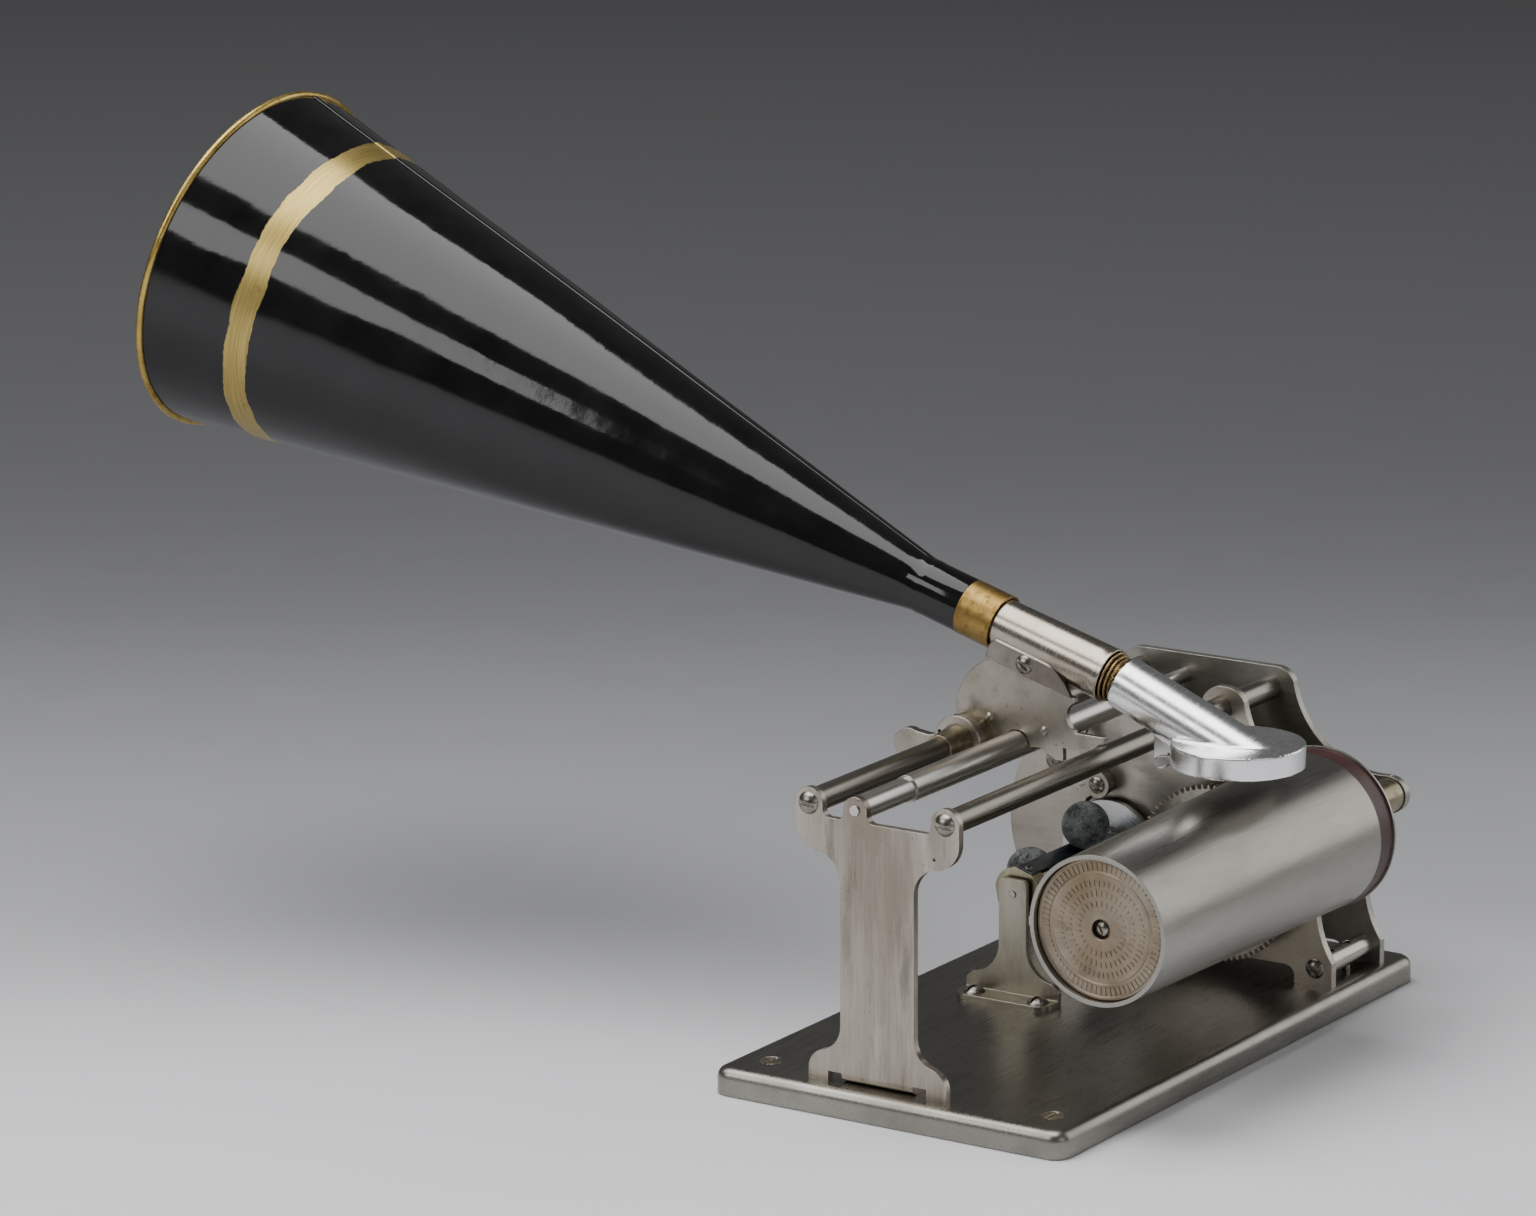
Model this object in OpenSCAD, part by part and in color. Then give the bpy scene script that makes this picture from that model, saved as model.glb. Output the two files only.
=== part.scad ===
// Spring-driven cylinder phonograph with a tapered mandrel, a sliding carriage and a straight conical horn.
// X runs along the mandrel, from the end plate to the motor. The horn points to +Y. Z is up.
// The origin is the middle of the bedplate's flat underside. Lengths are in millimetres.

/* [Bedplate] */
// Length of the bedplate along the mandrel
bed_l = 196; // [188:1:215]
// Width of the bedplate
bed_w = 110; // [106:1:125]
// Thickness of the bedplate
bed_h = 7.4; // [6:0.1:10]
// Radius along the top edge
bed_edge_r = 3; // [1:0.1:4]
// Radius of the plan corners
bed_corner_r = 5; // [4.5:0.1:9]
// Corner screw, distance from the bedplate's end
corner_screw_end_inset = 13.1; // [10:0.1:16]
// Corner screw, distance from the bedplate's side
corner_screw_side_inset = 10.9; // [9:0.1:14]
// Head diameter of a corner screw
corner_screw_d = 6.4; // [5:0.1:8]

/* [End plate] */
// Distance from the bedplate's end to the end plate
end_inset = 6.7; // [4:0.1:12]
// Thickness of the end plate
end_t = 2.2; // [1.6:0.1:3]
// Middle of the end plate across the bedplate
end_y = 6.2; // [4:0.1:8]
// Half width of the foot
foot_half_w = 21.6; // [20.5:0.1:24]
// Height of the foot above the bedplate
foot_h = 8.6; // [7:0.1:10]
// Half width of the waist
waist_half_w = 11.5; // [9:0.1:13]
// Radius of the rounded lobes below the rods
lobe_r = 7.6; // [7:0.1:8]
// Radius of the ears round the rod screws
ear_r = 4.3; // [4:0.1:5]
// Radius of the ear round the feed screw pivot
pivot_ear_r = 3.6; // [3:0.1:4]
// Length of the bent tab on the bedplate
tab_l = 11.5; // [10:0.1:14]

/* [Rods and feed screw] */
// Height of the three rods above the underside
rod_z = 83.2; // [82:0.1:86]
// Diameter of the two guide rods
rod_d = 6.7; // [6:0.1:7]
// Place of the rear guide rod across the bedplate
rear_rod_y = 27.5; // [27:0.1:28.5]
// Place of the front guide rod across the bedplate
front_rod_y = -14.9; // [-15.5:0.1:-14]
// Place of the feed screw across the bedplate
feed_y = 12.9; // [12.4:0.1:13.4]
// Outside diameter of the feed screw
feed_d = 7.6; // [6.6:0.1:7.8]
// Diameter of the plain stub at the end plate
stub_d = 6.4; // [5:0.1:6.5]
// Length of the plain stub
stub_l = 23; // [15:0.5:30]
// Diameter of the feed screw's pivots
feed_pivot_d = 2.8; // [2:0.1:3.2]
// Diameter of the feed screw between the motor plates
feed_neck_d = 4.2; // [3.4:0.1:5]

/* [Motor frame] */
// Distance from the bedplate's end to the rear motor plate
motor_inset = 12.8; // [11:0.1:14]
// Thickness of both motor plates
plate_t = 2.5; // [2:0.1:2.6]
// Clear distance between the motor plates
plate_gap = 25.9; // [25.9:0.1:30]
// Height of the motor plates
plate_top = 89.5; // [89:0.1:92]
// Radius of the plates' top corners
plate_corner_r = 6.3; // [5:0.1:6.5]
// Radius of the nose that carries the mandrel
nose_r = 5.3; // [5:0.1:6]
// Radius of the plates' round far side
far_arc_r = 37.4; // [36.5:0.1:38]
// Height of the arch under the plates
arch_h = 4.9; // [4:0.1:5.2]
// Diameter of the three pillars
pillar_d = 6.7; // [5:0.1:7]

/* [Mandrel] */
// Place of the mandrel axis across the bedplate
mandrel_y = -53.2; // [-54:0.1:-52]
// Height of the mandrel axis
mandrel_z = 57.2; // [56:0.1:58]
// Length of the tapered drum
drum_l = 114.5; // [110:0.5:118]
// Radius of the drum at its small end
drum_r1 = 20.43; // [19.5:0.01:21]
// Radius of the drum at its large end
drum_r2 = 22.2; // [21.5:0.1:23]
// Wall of the drum
drum_wall = 1.2; // [0.8:0.1:2]
// Depth of the recess in front of the end cap
cap_recess = 2; // [1:0.1:3]
// Width of the fibre band
band_w = 6.7; // [5:0.1:8]
// Diameter of the mandrel shaft
shaft_d = 6; // [5:0.1:7]
// Radius of the records that the machine plays
record_r = 27.8; // [27.5:0.1:28]

/* [Gear train] */
// Thickness of the great wheel and the mandrel gear
great_t = 2.5; // [2:0.1:3]
// Module of the great wheel
great_module = 0.62; // [0.6:0.01:0.64]
// Teeth of the great wheel
great_teeth = 80; // [79:1:82]
// Teeth of the mandrel gear
mandrel_teeth = 52; // [50:1:53]
// Direction from the mandrel to the great wheel, in degrees
great_angle = -28.8; // [-29.5:0.1:-28]
// Diameter of the great wheel's arbor
great_arbor_d = 5; // [4:0.1:5.4]
// Distance from the great wheel to the front motor plate
great_gap = 4.8; // [4.6:0.1:6]
// Height of the mainspring's axis above the governor's axis
spring_rise = 9.5; // [9:0.1:10]
// Width of the mainspring
spring_w = 6.5; // [5:0.1:7]
// Turns of the mainspring
spring_turns = 8; // [6:1:9]
// Length of the winding key's grip across its shank
key_span = 26; // [20:0.5:30]

/* [Governor] */
// Place of the governor axis across the bedplate
governor_y = 19; // [18.5:0.1:19.5]
// Height of the governor axis
governor_z = 37.5; // [37:0.1:38]
// Distance from the governor bracket to the front motor plate
bracket_gap = 54.2; // [52:0.1:58]
// Sheet thickness of the governor bracket
bracket_t = 1.6; // [1.2:0.1:2]
// Diameter of a governor ball
ball_d = 13.6; // [12:0.1:14]
// Number of governor balls
balls = 3; // [2:1:3]
// Place of the balls along the spindle, from the bracket
ball_station = 30.4; // [26:0.1:32]
// Radius of the friction disc
disc_r = 15; // [13:0.1:15.5]
// Thickness of the friction disc
disc_t = 2; // [1.5:0.1:2.2]
// Diameter of the governor spindle
spindle_d = 4; // [3:0.1:4.5]
// Thickness of the governor leaf springs
leaf_t = 0.4; // [0.3:0.05:0.6]
// Width of the governor leaf springs
leaf_w = 5; // [4:0.1:5.5]

/* [Carriage] */
// Distance from the carriage plate to the front motor plate
carriage_station = 63.8; // [55:0.1:75]
// Thickness of the carriage plate
carriage_t = 1.8; // [1.4:0.1:2.4]
// Radius of the carriage plate's round back
carriage_back_r = 16.4; // [16:0.1:17]
// Outside radius of the carriage hub
hub_r = 7.1; // [6.8:0.1:8]
// Outside radius of the sliding bushing
bushing_r = 5; // [4.5:0.1:5.4]
// Thickness of the lift lever
lever_t = 2.8; // [2:0.1:3.2]
// Length of the half nut
half_nut_l = 8; // [5:0.5:12]

/* [Tone arm] */
// Slope of the tone tube and the horn, in degrees
tone_tilt = 16.6; // [15.5:0.1:17.5]
// Distance from the carriage plate's face to the tube axis
tone_offset = 5.5; // [5.4:0.1:6]
// Height of the tube axis above the rods at the clamp
tone_rise = 26.8; // [26.5:0.1:27.5]
// Distance from the rear rod to the clamp's middle
tone_set = 23.5; // [23:0.1:24]
// Diameter of the tone tube
tone_d = 14.4; // [14:0.1:14.6]
// Wall of the tone tube
tone_wall = 1.1; // [0.8:0.1:2]
// Diameter of the reproducer's disc
disc_d = 36.6; // [34:0.1:39]
// Rim height of the reproducer's disc
disc_h = 6.3; // [5.8:0.1:6.8]
// Diameter of the reproducer's neck
neck_d = 15; // [14:0.1:16]
// Wall of the reproducer casting
casting_wall = 1.5; // [1.2:0.1:1.8]

/* [Horn] */
// Length of the horn from ferrule to rim
horn_l = 257.5; // [200:0.5:300]
// Diameter of the bell
bell_d = 105.6; // [90:0.2:130]
// Wall of the horn
horn_wall = 0.5; // [0.4:0.1:1]
// Diameter of the rolled rim
bead_d = 2.4; // [2:0.1:3.5]
// Length of the brass ferrule
ferrule_l = 11.3; // [9:0.1:16]
// Wall of the brass ferrule
ferrule_wall = 0.7; // [0.5:0.05:1.2]
// Length of the horn's straight throat
throat_l = 15; // [10:0.5:25]

/* [Hidden] */
$fn = 64;

// Clearances: a running fit, a gap between curved faces, and a free gap beside moving parts
fit = 0.05;
seat = 0.3;
cut = 0.1;
eps = 0.01;

// Planes along the mandrel
end_x = -bed_l / 2 + end_inset;
rods_x0 = end_x + end_t;
rear_x = bed_l / 2 - motor_inset - plate_t;
front_x = rear_x - plate_gap - plate_t;
rear_face = rear_x + plate_t;
front_face = front_x + plate_t;
great_x = front_x - great_gap - great_t;
flange_t = 0.7;
flange_x = great_x - 3 - flange_t;
band_x = flange_x - band_w;
drum_x = band_x - drum_l;
bracket_x = front_x - bracket_gap - bracket_t;
carriage_x = front_x - carriage_station;
tone_x = carriage_x + tone_offset;

// Axes as [y, z] points
rear_rod_at = [rear_rod_y, rod_z];
front_rod_at = [front_rod_y, rod_z];
feed_at = [feed_y, rod_z];
mandrel_at = [mandrel_y, mandrel_z];
governor_at = [governor_y, governor_z];
spring_at = [governor_y - 3.5, governor_z + spring_rise];
near_pillar_at = [-45.8, bed_h + 5];
far_pillar_at = [-near_pillar_at[0] - 7.8, bed_h + 5];
spring_pillar_at = [governor_y + 20, governor_z + 23];
pillars_at = [near_pillar_at, far_pillar_at, spring_pillar_at];
brake_at = [governor_y + 2.9, governor_z + 19.4];
brake_x = front_x - 5.4;
brake_neck_d = 4;

function polar(r, a) = [r * cos(a), r * sin(a)];
function bearing(p, q) = atan2(q[1] - p[1], q[0] - p[0]);
// Centre that lies r1 from p and r2 from q, on the left (side = 1) or right of the line from p to q
function meet(p, r1, q, r2, side) =
    let (d = norm(q - p), a = (r1 * r1 - r2 * r2 + d * d) / (2 * d), h = sqrt(r1 * r1 - a * a))
    p + polar(a, bearing(p, q)) + polar(side * h, bearing(p, q) + 90);
function mesh(m, n1, n2) = m * (n1 + n2) / 2;
// Turn of a gear of n2 teeth at q that puts its gap on the tooth of a gear of n1 teeth turned by a1 at p
function in_mesh(p, n1, a1, q, n2) =
    bearing(p, q) + 180 - 180 / n2 - (a1 - bearing(p, q)) * n1 / n2;

// Gear train: great wheel, step up to the governor, reduction from the spring wheel, feed gears
step_module = 0.5;
step_wheel_teeth = 72;
step_pinion_teeth = 12;
governor_wheel_teeth = 52;
governor_pinion_teeth = 12;
reduction_module = 0.55;
reduction_teeth = 50;
reduction_pinion_teeth = 12;
spring_module = 0.7;
spring_teeth = 64;
spring_pinion_teeth = 12;
feed_module = 0.4;
feed_drive_teeth = 20;
idler_teeth = 58;
feed_teeth = 26;
gear_t = 2;
great_at = mandrel_at + polar(mesh(great_module, great_teeth, mandrel_teeth), great_angle);
step_at = meet(great_at, mesh(step_module, step_wheel_teeth, step_pinion_teeth),
    governor_at, mesh(step_module, governor_wheel_teeth, governor_pinion_teeth), -1);
reduction_at = meet(great_at, mesh(reduction_module, reduction_teeth, reduction_pinion_teeth),
    spring_at, mesh(spring_module, spring_teeth, spring_pinion_teeth), -1);
idler_angle = 60;
idler_lower_at = great_at + polar(mesh(feed_module, feed_drive_teeth, idler_teeth), idler_angle);
idler_upper_at = meet(idler_lower_at, mesh(feed_module, idler_teeth, idler_teeth),
    feed_at, mesh(feed_module, idler_teeth, feed_teeth), -1);
layer1_x = front_face + 1.2;
layer2_x = layer1_x + gear_t + 2;
layer3_x = layer2_x + gear_t + 2.4;
layer4_x = layer3_x + gear_t + 1.6;
feed_gear_x = rear_face + 1.2;
mandrel_phase = 0;
great_phase = in_mesh(mandrel_at, mandrel_teeth, mandrel_phase, great_at, great_teeth);
step_phase = in_mesh(great_at, step_wheel_teeth, great_phase, step_at, step_pinion_teeth);
governor_phase = in_mesh(step_at, governor_wheel_teeth, step_phase, governor_at, governor_pinion_teeth);
reduction_phase = in_mesh(great_at, reduction_pinion_teeth, great_phase, reduction_at, reduction_teeth);
spring_phase = in_mesh(reduction_at, spring_pinion_teeth, reduction_phase, spring_at, spring_teeth);
idler_lower_phase = in_mesh(great_at, feed_drive_teeth, great_phase, idler_lower_at, idler_teeth);
idler_upper_phase = in_mesh(idler_lower_at, idler_teeth, idler_lower_phase, idler_upper_at, idler_teeth);
feed_phase = in_mesh(idler_upper_at, idler_teeth, idler_upper_phase, feed_at, feed_teeth);

// Spring arbor, ratchet and mainspring
arbor_d = 5;
stud_d = 3;
square_w = 3.4;
ratchet_r = 8;
ratchet_depth = 1;
ratchet_teeth = 16;
click_at = spring_at + polar(14, 60);
click_pin_d = 2.4;
click_r = click_pin_d / 2 + 1.6;
spring_t = 0.5;
spring_hub_r = 5.5;
spring_out_r = norm(spring_pillar_at - spring_at) - pillar_d / 2 - seat - spring_t / 2;
spring_end_angle = bearing(spring_at, spring_pillar_at);
spring_x = layer4_x + gear_t + 1.2;

// Governor along its spindle
bracket_face = bracket_x + bracket_t;
collar_x = bracket_face + 1;
collar_l = 5;
collar_r = 7.2;
leaf_r = 6.6;
governor_disc_x = great_x + great_t + 0.9;
disc_hub_l = 5;
ball_x = bracket_face + ball_station;
ball_r = leaf_r + leaf_t + ball_d / 2 + fit;
ball_phase = 348.3;
leaf_x0 = collar_x + 0.4;
leaf_x1 = governor_disc_x - 0.4;
leaf_screws_x = [collar_x + collar_l / 2, governor_disc_x - disc_hub_l / 2];

// Carriage heights and the tone tube's line
tone_at = [rear_rod_y - tone_set, rod_z + tone_rise];
plate_notch_r = 4.4;
notch_at = [front_rod_y + 7.7, rod_z + 10];
rivets_at = [[feed_y + 9, rod_z + 6.3], [feed_y - 8.6, rod_z + 4.8]];
cradle_t = 0.8;
clamp_low = -8.3;
clamp_s0 = -12.2;
clamp_s1 = 16.5;
tube_s0 = -18.2;
ferrule_s0 = 17.4;
tube_s1 = ferrule_s0 + 8.5;
horn_s0 = ferrule_s0 + ferrule_l;
horn_s1 = horn_s0 + horn_l;
ring_l = 4.2;
neck_s0 = tube_s0 - ring_l;
neck_start = tone_at + polar(neck_s0, tone_tilt);
record_z = mandrel_z + record_r;
disc_z = record_z + 0.5;
diaphragm_z = record_z + 3.7;
diaphragm_t = 0.25;
disc_mid = [mandrel_y, disc_z + disc_h / 2];
neck_tilt = bearing(disc_mid, neck_start);
neck_l = norm(neck_start - disc_mid);
lug_w = 4;
lug_y = mandrel_y + disc_d / 2 + 4.6;
lug_r = 2.3;
stylus_pin_at = [lug_y, record_z - 1.3];
stylus_pin_d = 1.2;
spigot_d = neck_d - 2 * casting_wall;
chamber_d = disc_d - 5.2;

// Screw sizes: [head diameter, head height, shank diameter, shank length]
rod_screw = [6.2, 1.9, 3, 9];
pillar_screw = [5.8, 1.5, 2.8, 5.5];
foot_screw = [4.6, 1.3, 2.2, 5];
bracket_screw = [6.3, 1.8, 3, 5];
leaf_screw = [2.6, 0.8, 1.4, 2.2];
ball_screw = [2.6, 0.8, 1.4, 3.6];
clamp_screw_size = [5.4, 1.3, 2.4, 0.7];
cap_screw_size = [4, 0.9, 2.2, 8];

// Places a child so that its flat shape lies in the YZ plane at x and grows to +X by t
module across(x, t) {
    translate([x, 0, 0]) rotate([90, 0, 90]) linear_extrude(t) children();
}

// Places a child with its Z axis along +X, or along -X, at a [y, z] point
module on_x(x, at) {
    translate([x, at[0], at[1]]) rotate([0, 90, 0]) children();
}
module on_minus_x(x, at) {
    translate([x, at[0], at[1]]) rotate([0, -90, 0]) children();
}

// Round bar along X between two planes
module bar(x0, x1, at, d) {
    on_x(x0, at) cylinder(d = d, h = x1 - x0);
}

// Frame whose Z axis runs up the tone tube, with -Y on the upper side
module on_tone() {
    translate([tone_x, tone_at[0], tone_at[1]]) rotate([tone_tilt - 90, 0, 0]) children();
}

// Flat gear with straight-sided teeth, a tooth centred on the given angle
module gear(m, n, phase) {
    root = m * (n / 2 - 1.2);
    tip = m * (n / 2 + 0.75);
    flank = [[-0.27, root], [-0.1, tip], [0.1, tip], [0.27, root]];
    polygon([for (i = [0 : n - 1]) for (f = flank) polar(f[1], phase + 360 / n * (i + f[0]))]);
}

module wheel(x, t, at, m, n, phase, bore) {
    across(x, t) translate(at) difference() {
        gear(m, n, phase);
        circle(d = bore);
    }
}

// Domed screw with a straight slot; its seat is at z = 0 and its head points up
module dome_screw(size, turn = 0) {
    ball = (size[0] * size[0] / 4 + size[1] * size[1]) / (2 * size[1]);
    slot_w = size[0] * 0.18;
    difference() {
        intersection() {
            translate([0, 0, size[1] - ball]) sphere(ball);
            cylinder(d = size[0] + 1, h = size[1] + 1);
        }
        rotate(turn) translate([-size[0], -slot_w / 2, size[1] * 0.3])
            cube([2 * size[0], slot_w, size[1]]);
    }
    translate([0, 0, -size[3]]) cylinder(d = size[2], h = size[3] + eps);
}

// Hole that takes the shank of a screw
module screw_hole(size) {
    translate([0, 0, -size[3] - seat]) cylinder(d = size[2] + 2 * fit, h = size[3] + 4);
}

// Inside corner rounding between a wall on one side and a floor
module inner_corner(at, r, side) {
    translate(at) difference() {
        translate([min(0, side * r), 0]) square([r, r]);
        translate([side * r, r]) circle(r);
    }
}

module rounded_rectangle(l, w, r) {
    square([l - 2 * r, w], center = true);
    square([l, w - 2 * r], center = true);
    for (sx = [-1, 1]) for (sy = [-1, 1])
        translate([sx * (l / 2 - r), sy * (w / 2 - r)]) circle(r);
}

// Places of the four corner screws, the tab screws and the bracket screws
module at_corners() {
    x = bed_l / 2 - corner_screw_end_inset;
    y = bed_w / 2 - corner_screw_side_inset;
    for (sx = [-1, 1]) for (sy = [-1, 1]) translate([sx * x, sy * y, bed_h]) children();
}
module at_feet() {
    for (s = [-1, 1]) translate([end_x + tab_l - 4, end_y + s * 6.5, bed_h + end_t]) children();
}
module at_bolts() {
    for (at = [near_pillar_at, far_pillar_at]) for (x = [front_face + 6.3, rear_x - 10])
        translate([x, at[0], 0]) children();
}
module at_bracket() {
    for (s = [-1, 1])
        translate([bracket_x - 4, governor_y - 0.5 + s * 10.3, bed_h + bracket_t]) children();
}

module bedplate() {
    top_l = bed_l - 2 * bed_edge_r;
    top_w = bed_w - 2 * bed_edge_r;
    ring = bed_corner_r - bed_edge_r;
    edge_z = bed_h - bed_edge_r;
    corner = [bed_l / 2 - bed_corner_r, bed_w / 2 - bed_corner_r];
    color("#8d8b86") difference() {
        union() {
            linear_extrude(edge_z) rounded_rectangle(bed_l, bed_w, bed_corner_r);
            linear_extrude(bed_h) rounded_rectangle(top_l, top_w, ring);
            for (s = [-1, 1]) {
                translate([-corner[0], s * top_w / 2, edge_z]) rotate([0, 90, 0])
                    cylinder(r = bed_edge_r, h = 2 * corner[0]);
                translate([s * top_l / 2, corner[1], edge_z]) rotate([90, 0, 0])
                    cylinder(r = bed_edge_r, h = 2 * corner[1]);
            }
            for (sx = [-1, 1]) for (sy = [-1, 1])
                translate([sx * corner[0], sy * corner[1], edge_z]) rotate_extrude() intersection() {
                    translate([ring, 0]) circle(bed_edge_r);
                    square(2 * bed_corner_r);
                }
        }
        at_corners() corner_cut(2 * fit);
        at_feet() screw_hole(foot_screw);
        at_bracket() screw_hole(bracket_screw);
        at_bolts() bed_bolt(2 * fit);
    }
}

// Countersunk screw through the bedplate, grown by gap
module corner_cut(gap) {
    cone_h = 2;
    translate([0, 0, -cone_h]) cylinder(d1 = 3.2 + gap, d2 = corner_screw_d + gap, h = cone_h + eps);
    translate([0, 0, -bed_h - 1]) cylinder(d = 3.2 + gap, h = bed_h + 1);
}

module corner_screws() {
    color("#a08a62") at_corners() difference() {
        intersection() {
            corner_cut(0);
            translate([-5, -5, 1 - bed_h]) cube([10, 10, bed_h - 1]);
        }
        translate([-5, -0.45, -0.9]) cube([10, 0.9, 2]);
    }
}

// Outline of the end plate in its own [w, z] plane, w being measured from its middle
module end_outline() {
    foot_r = 5.9;
    low_r = 7.5;
    high_r = 8;
    foot_top = bed_h + foot_h;
    foot_c = [foot_half_w - foot_r, foot_top - foot_r];
    flare_w = waist_half_w + low_r;
    flare_c = [flare_w, foot_c[1] + sqrt(pow(foot_r + low_r, 2) - pow(flare_w - foot_c[0], 2))];
    flare_end = foot_c + (flare_c - foot_c) * foot_r / (foot_r + low_r);
    lobe_w = ear_out - lobe_r;
    lobe_z = rod_z - 5;
    neck_z = lobe_z - lobe_r;
    valley_z = rod_z - 3.2;
    translate([-foot_half_w, bed_h]) square([2 * foot_half_w, foot_h - foot_r]);
    translate([-foot_half_w + foot_r, bed_h]) square([2 * (foot_half_w - foot_r), foot_h]);
    translate([-waist_half_w, bed_h]) square([2 * waist_half_w, valley_z - bed_h]);
    translate([-lobe_w, lobe_z]) square([2 * lobe_w, valley_z - lobe_z]);
    translate([-lobe_w, neck_z]) square([2 * lobe_w, lobe_r]);
    for (s = [-1, 1]) {
        intersection() {
            translate([s * foot_c[0], foot_c[1]]) circle(foot_r);
            translate([-2 * foot_half_w, bed_h]) square([4 * foot_half_w, foot_h]);
        }
        scale([s, 1]) difference() {
            translate([0, foot_c[1]]) square([flare_end[0], flare_c[1] - foot_c[1]]);
            translate(flare_c) circle(low_r);
        }
        mirror([0, 1]) inner_corner([s * waist_half_w, -neck_z], high_r, s);
        intersection() {
            translate([s * lobe_w, lobe_z]) circle(lobe_r);
            translate([-2 * foot_half_w, neck_z]) square([4 * foot_half_w, lobe_r]);
        }
        translate([s * (ear_out - ear_r), rod_z]) circle(ear_r);
        translate([s * (ear_out - ear_r) - ear_r, lobe_z]) square([2 * ear_r, rod_z - lobe_z]);
        inner_corner([s * (ear_out - 2 * ear_r), valley_z], 2.2, -s);
    }
    translate([feed_y - end_y, rod_z]) circle(pivot_ear_r);
    translate([feed_y - end_y - pivot_ear_r, lobe_z]) square([2 * pivot_ear_r, rod_z - lobe_z]);
    for (s = [-1, 1]) inner_corner([feed_y - end_y + s * pivot_ear_r, valley_z], 2.2, s);
}
ear_out = (rear_rod_y - front_rod_y) / 2 + ear_r;

module end_plate() {
    notch_w = 4.2;
    notch_h = 2.7;
    bend_r = 0.4 + end_t;
    tab_half_w = 11.2;
    toe_w = foot_half_w - tab_half_w - notch_w;
    color("#b0a696") difference() {
        union() {
            difference() {
                translate([0, end_y, 0]) across(end_x, end_t) end_outline();
                translate([end_x - cut, end_y - tab_half_w - notch_w, 0])
                    cube([end_t + 2 * cut, 2 * (tab_half_w + notch_w), bed_h + notch_h]);
            }
            for (y = [-foot_half_w, foot_half_w - toe_w])
                translate([end_x, end_y + y, bed_h]) cube([end_t, toe_w, notch_h + eps]);
            translate([end_x + bend_r, end_y, bed_h + bend_r]) rotate([90, 0, 0])
                intersection() {
                    difference() {
                        cylinder(r = bend_r, h = 2 * tab_half_w, center = true);
                        cylinder(r = bend_r - end_t, h = 3 * tab_half_w, center = true);
                    }
                    translate([-2 * bend_r, -2 * bend_r, -2 * tab_half_w])
                        cube([2 * bend_r, 2 * bend_r, 4 * tab_half_w]);
                }
            translate([end_x, end_y - tab_half_w, bed_h + bend_r - eps])
                cube([end_t, 2 * tab_half_w, notch_h - bend_r + 2 * eps]);
            translate([end_x + bend_r - eps, end_y - tab_half_w, bed_h])
                cube([tab_l - bend_r, 2 * tab_half_w, end_t]);
        }
        for (y = [rear_rod_y, front_rod_y]) on_minus_x(end_x, [y, rod_z]) screw_hole(rod_screw);
        bar(end_x - 1, rods_x0 + 1, feed_at, feed_pivot_d + 2 * fit);
        bar(end_x - 1, rods_x0 + 1, [end_y - 17.9, rod_z - 9.8], 1);
        at_feet() screw_hole(foot_screw);
    }
}

// Outline of a motor plate; the front one dips between the rods
module motor_outline(dipped) {
    upper_r = 28;
    lower_r = 29;
    far_c = [governor_y - 2.8, governor_z + 5.8];
    corner_y = front_rod_y - 1.6;
    corner_z = plate_top - plate_corner_r;
    upper_z = mandrel_z + nose_r + upper_r;
    upper_y = corner_y - plate_corner_r - sqrt(pow(upper_r, 2) - pow(upper_z - corner_z, 2));
    difference() {
        union() {
            translate([mandrel_y, bed_h])
                square([rear_rod_y + plate_corner_r - mandrel_y, corner_z - bed_h]);
            translate([corner_y, bed_h]) square([rear_rod_y - corner_y, plate_top - bed_h]);
            for (y = [corner_y, rear_rod_y]) translate([y, corner_z]) circle(plate_corner_r);
            translate(far_c) circle(far_arc_r);
            translate([far_pillar_at[0] - 8, bed_h]) square([16, 14]);
        }
        translate([upper_y, upper_z]) circle(upper_r);
        translate([mandrel_y - 21.8, mandrel_z - 26.2]) circle(lower_r);
        translate([mandrel_y - 10, 0]) square([12, bed_h + 9]);
        translate([-200, bed_h - 50]) square([400, 50]);
        arch_x0 = near_pillar_at[0] + 6.5;
        arch_x1 = far_pillar_at[0] - 8;
        translate([arch_x0, bed_h - 5]) square([arch_x1 - arch_x0, 5 + arch_h - 3]);
        translate([arch_x0 + 3, bed_h - 5]) square([arch_x1 - arch_x0 - 6, 5 + arch_h]);
        for (y = [arch_x0 + 3, arch_x1 - 3]) translate([y, bed_h + arch_h - 3]) circle(3);
        if (dipped) {
            dip(front_rod_y, feed_y - 5, corner_z);
            dip(rear_rod_y, feed_y + 5, corner_z);
        }
    }
    translate(mandrel_at) circle(nose_r);
}

// Dip of the front motor plate from a rod's rounded ear to the feed screw's ear
module dip(rod_y, feed_ear_y, ear_z) {
    dip_z = rod_z - 4.2;
    difference() {
        translate([min(rod_y, feed_ear_y), dip_z]) square([abs(feed_ear_y - rod_y), plate_top]);
        translate([rod_y, ear_z]) circle(plate_corner_r);
        translate([rod_y - plate_corner_r, 0]) square([2 * plate_corner_r, ear_z]);
    }
}

// Bolt from the bedplate's underside up into a pillar, grown by gap
module bed_bolt(gap) {
    head_h = 1.4;
    translate([0, 0, -gap]) cylinder(d1 = 4.6 + 5 * gap, d2 = 2.2 + gap, h = head_h + gap);
    cylinder(d = 2.2 + gap, h = near_pillar_at[1] + 1.6);
}

module bed_bolts() {
    color("#9c958b") at_bolts() bed_bolt(0);
}

// Bore through a motor plate for a shaft of diameter d
module plate_bore(x, at, d) {
    bar(x - 1, x + plate_t + 1, at, d + 2 * fit);
}

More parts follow.
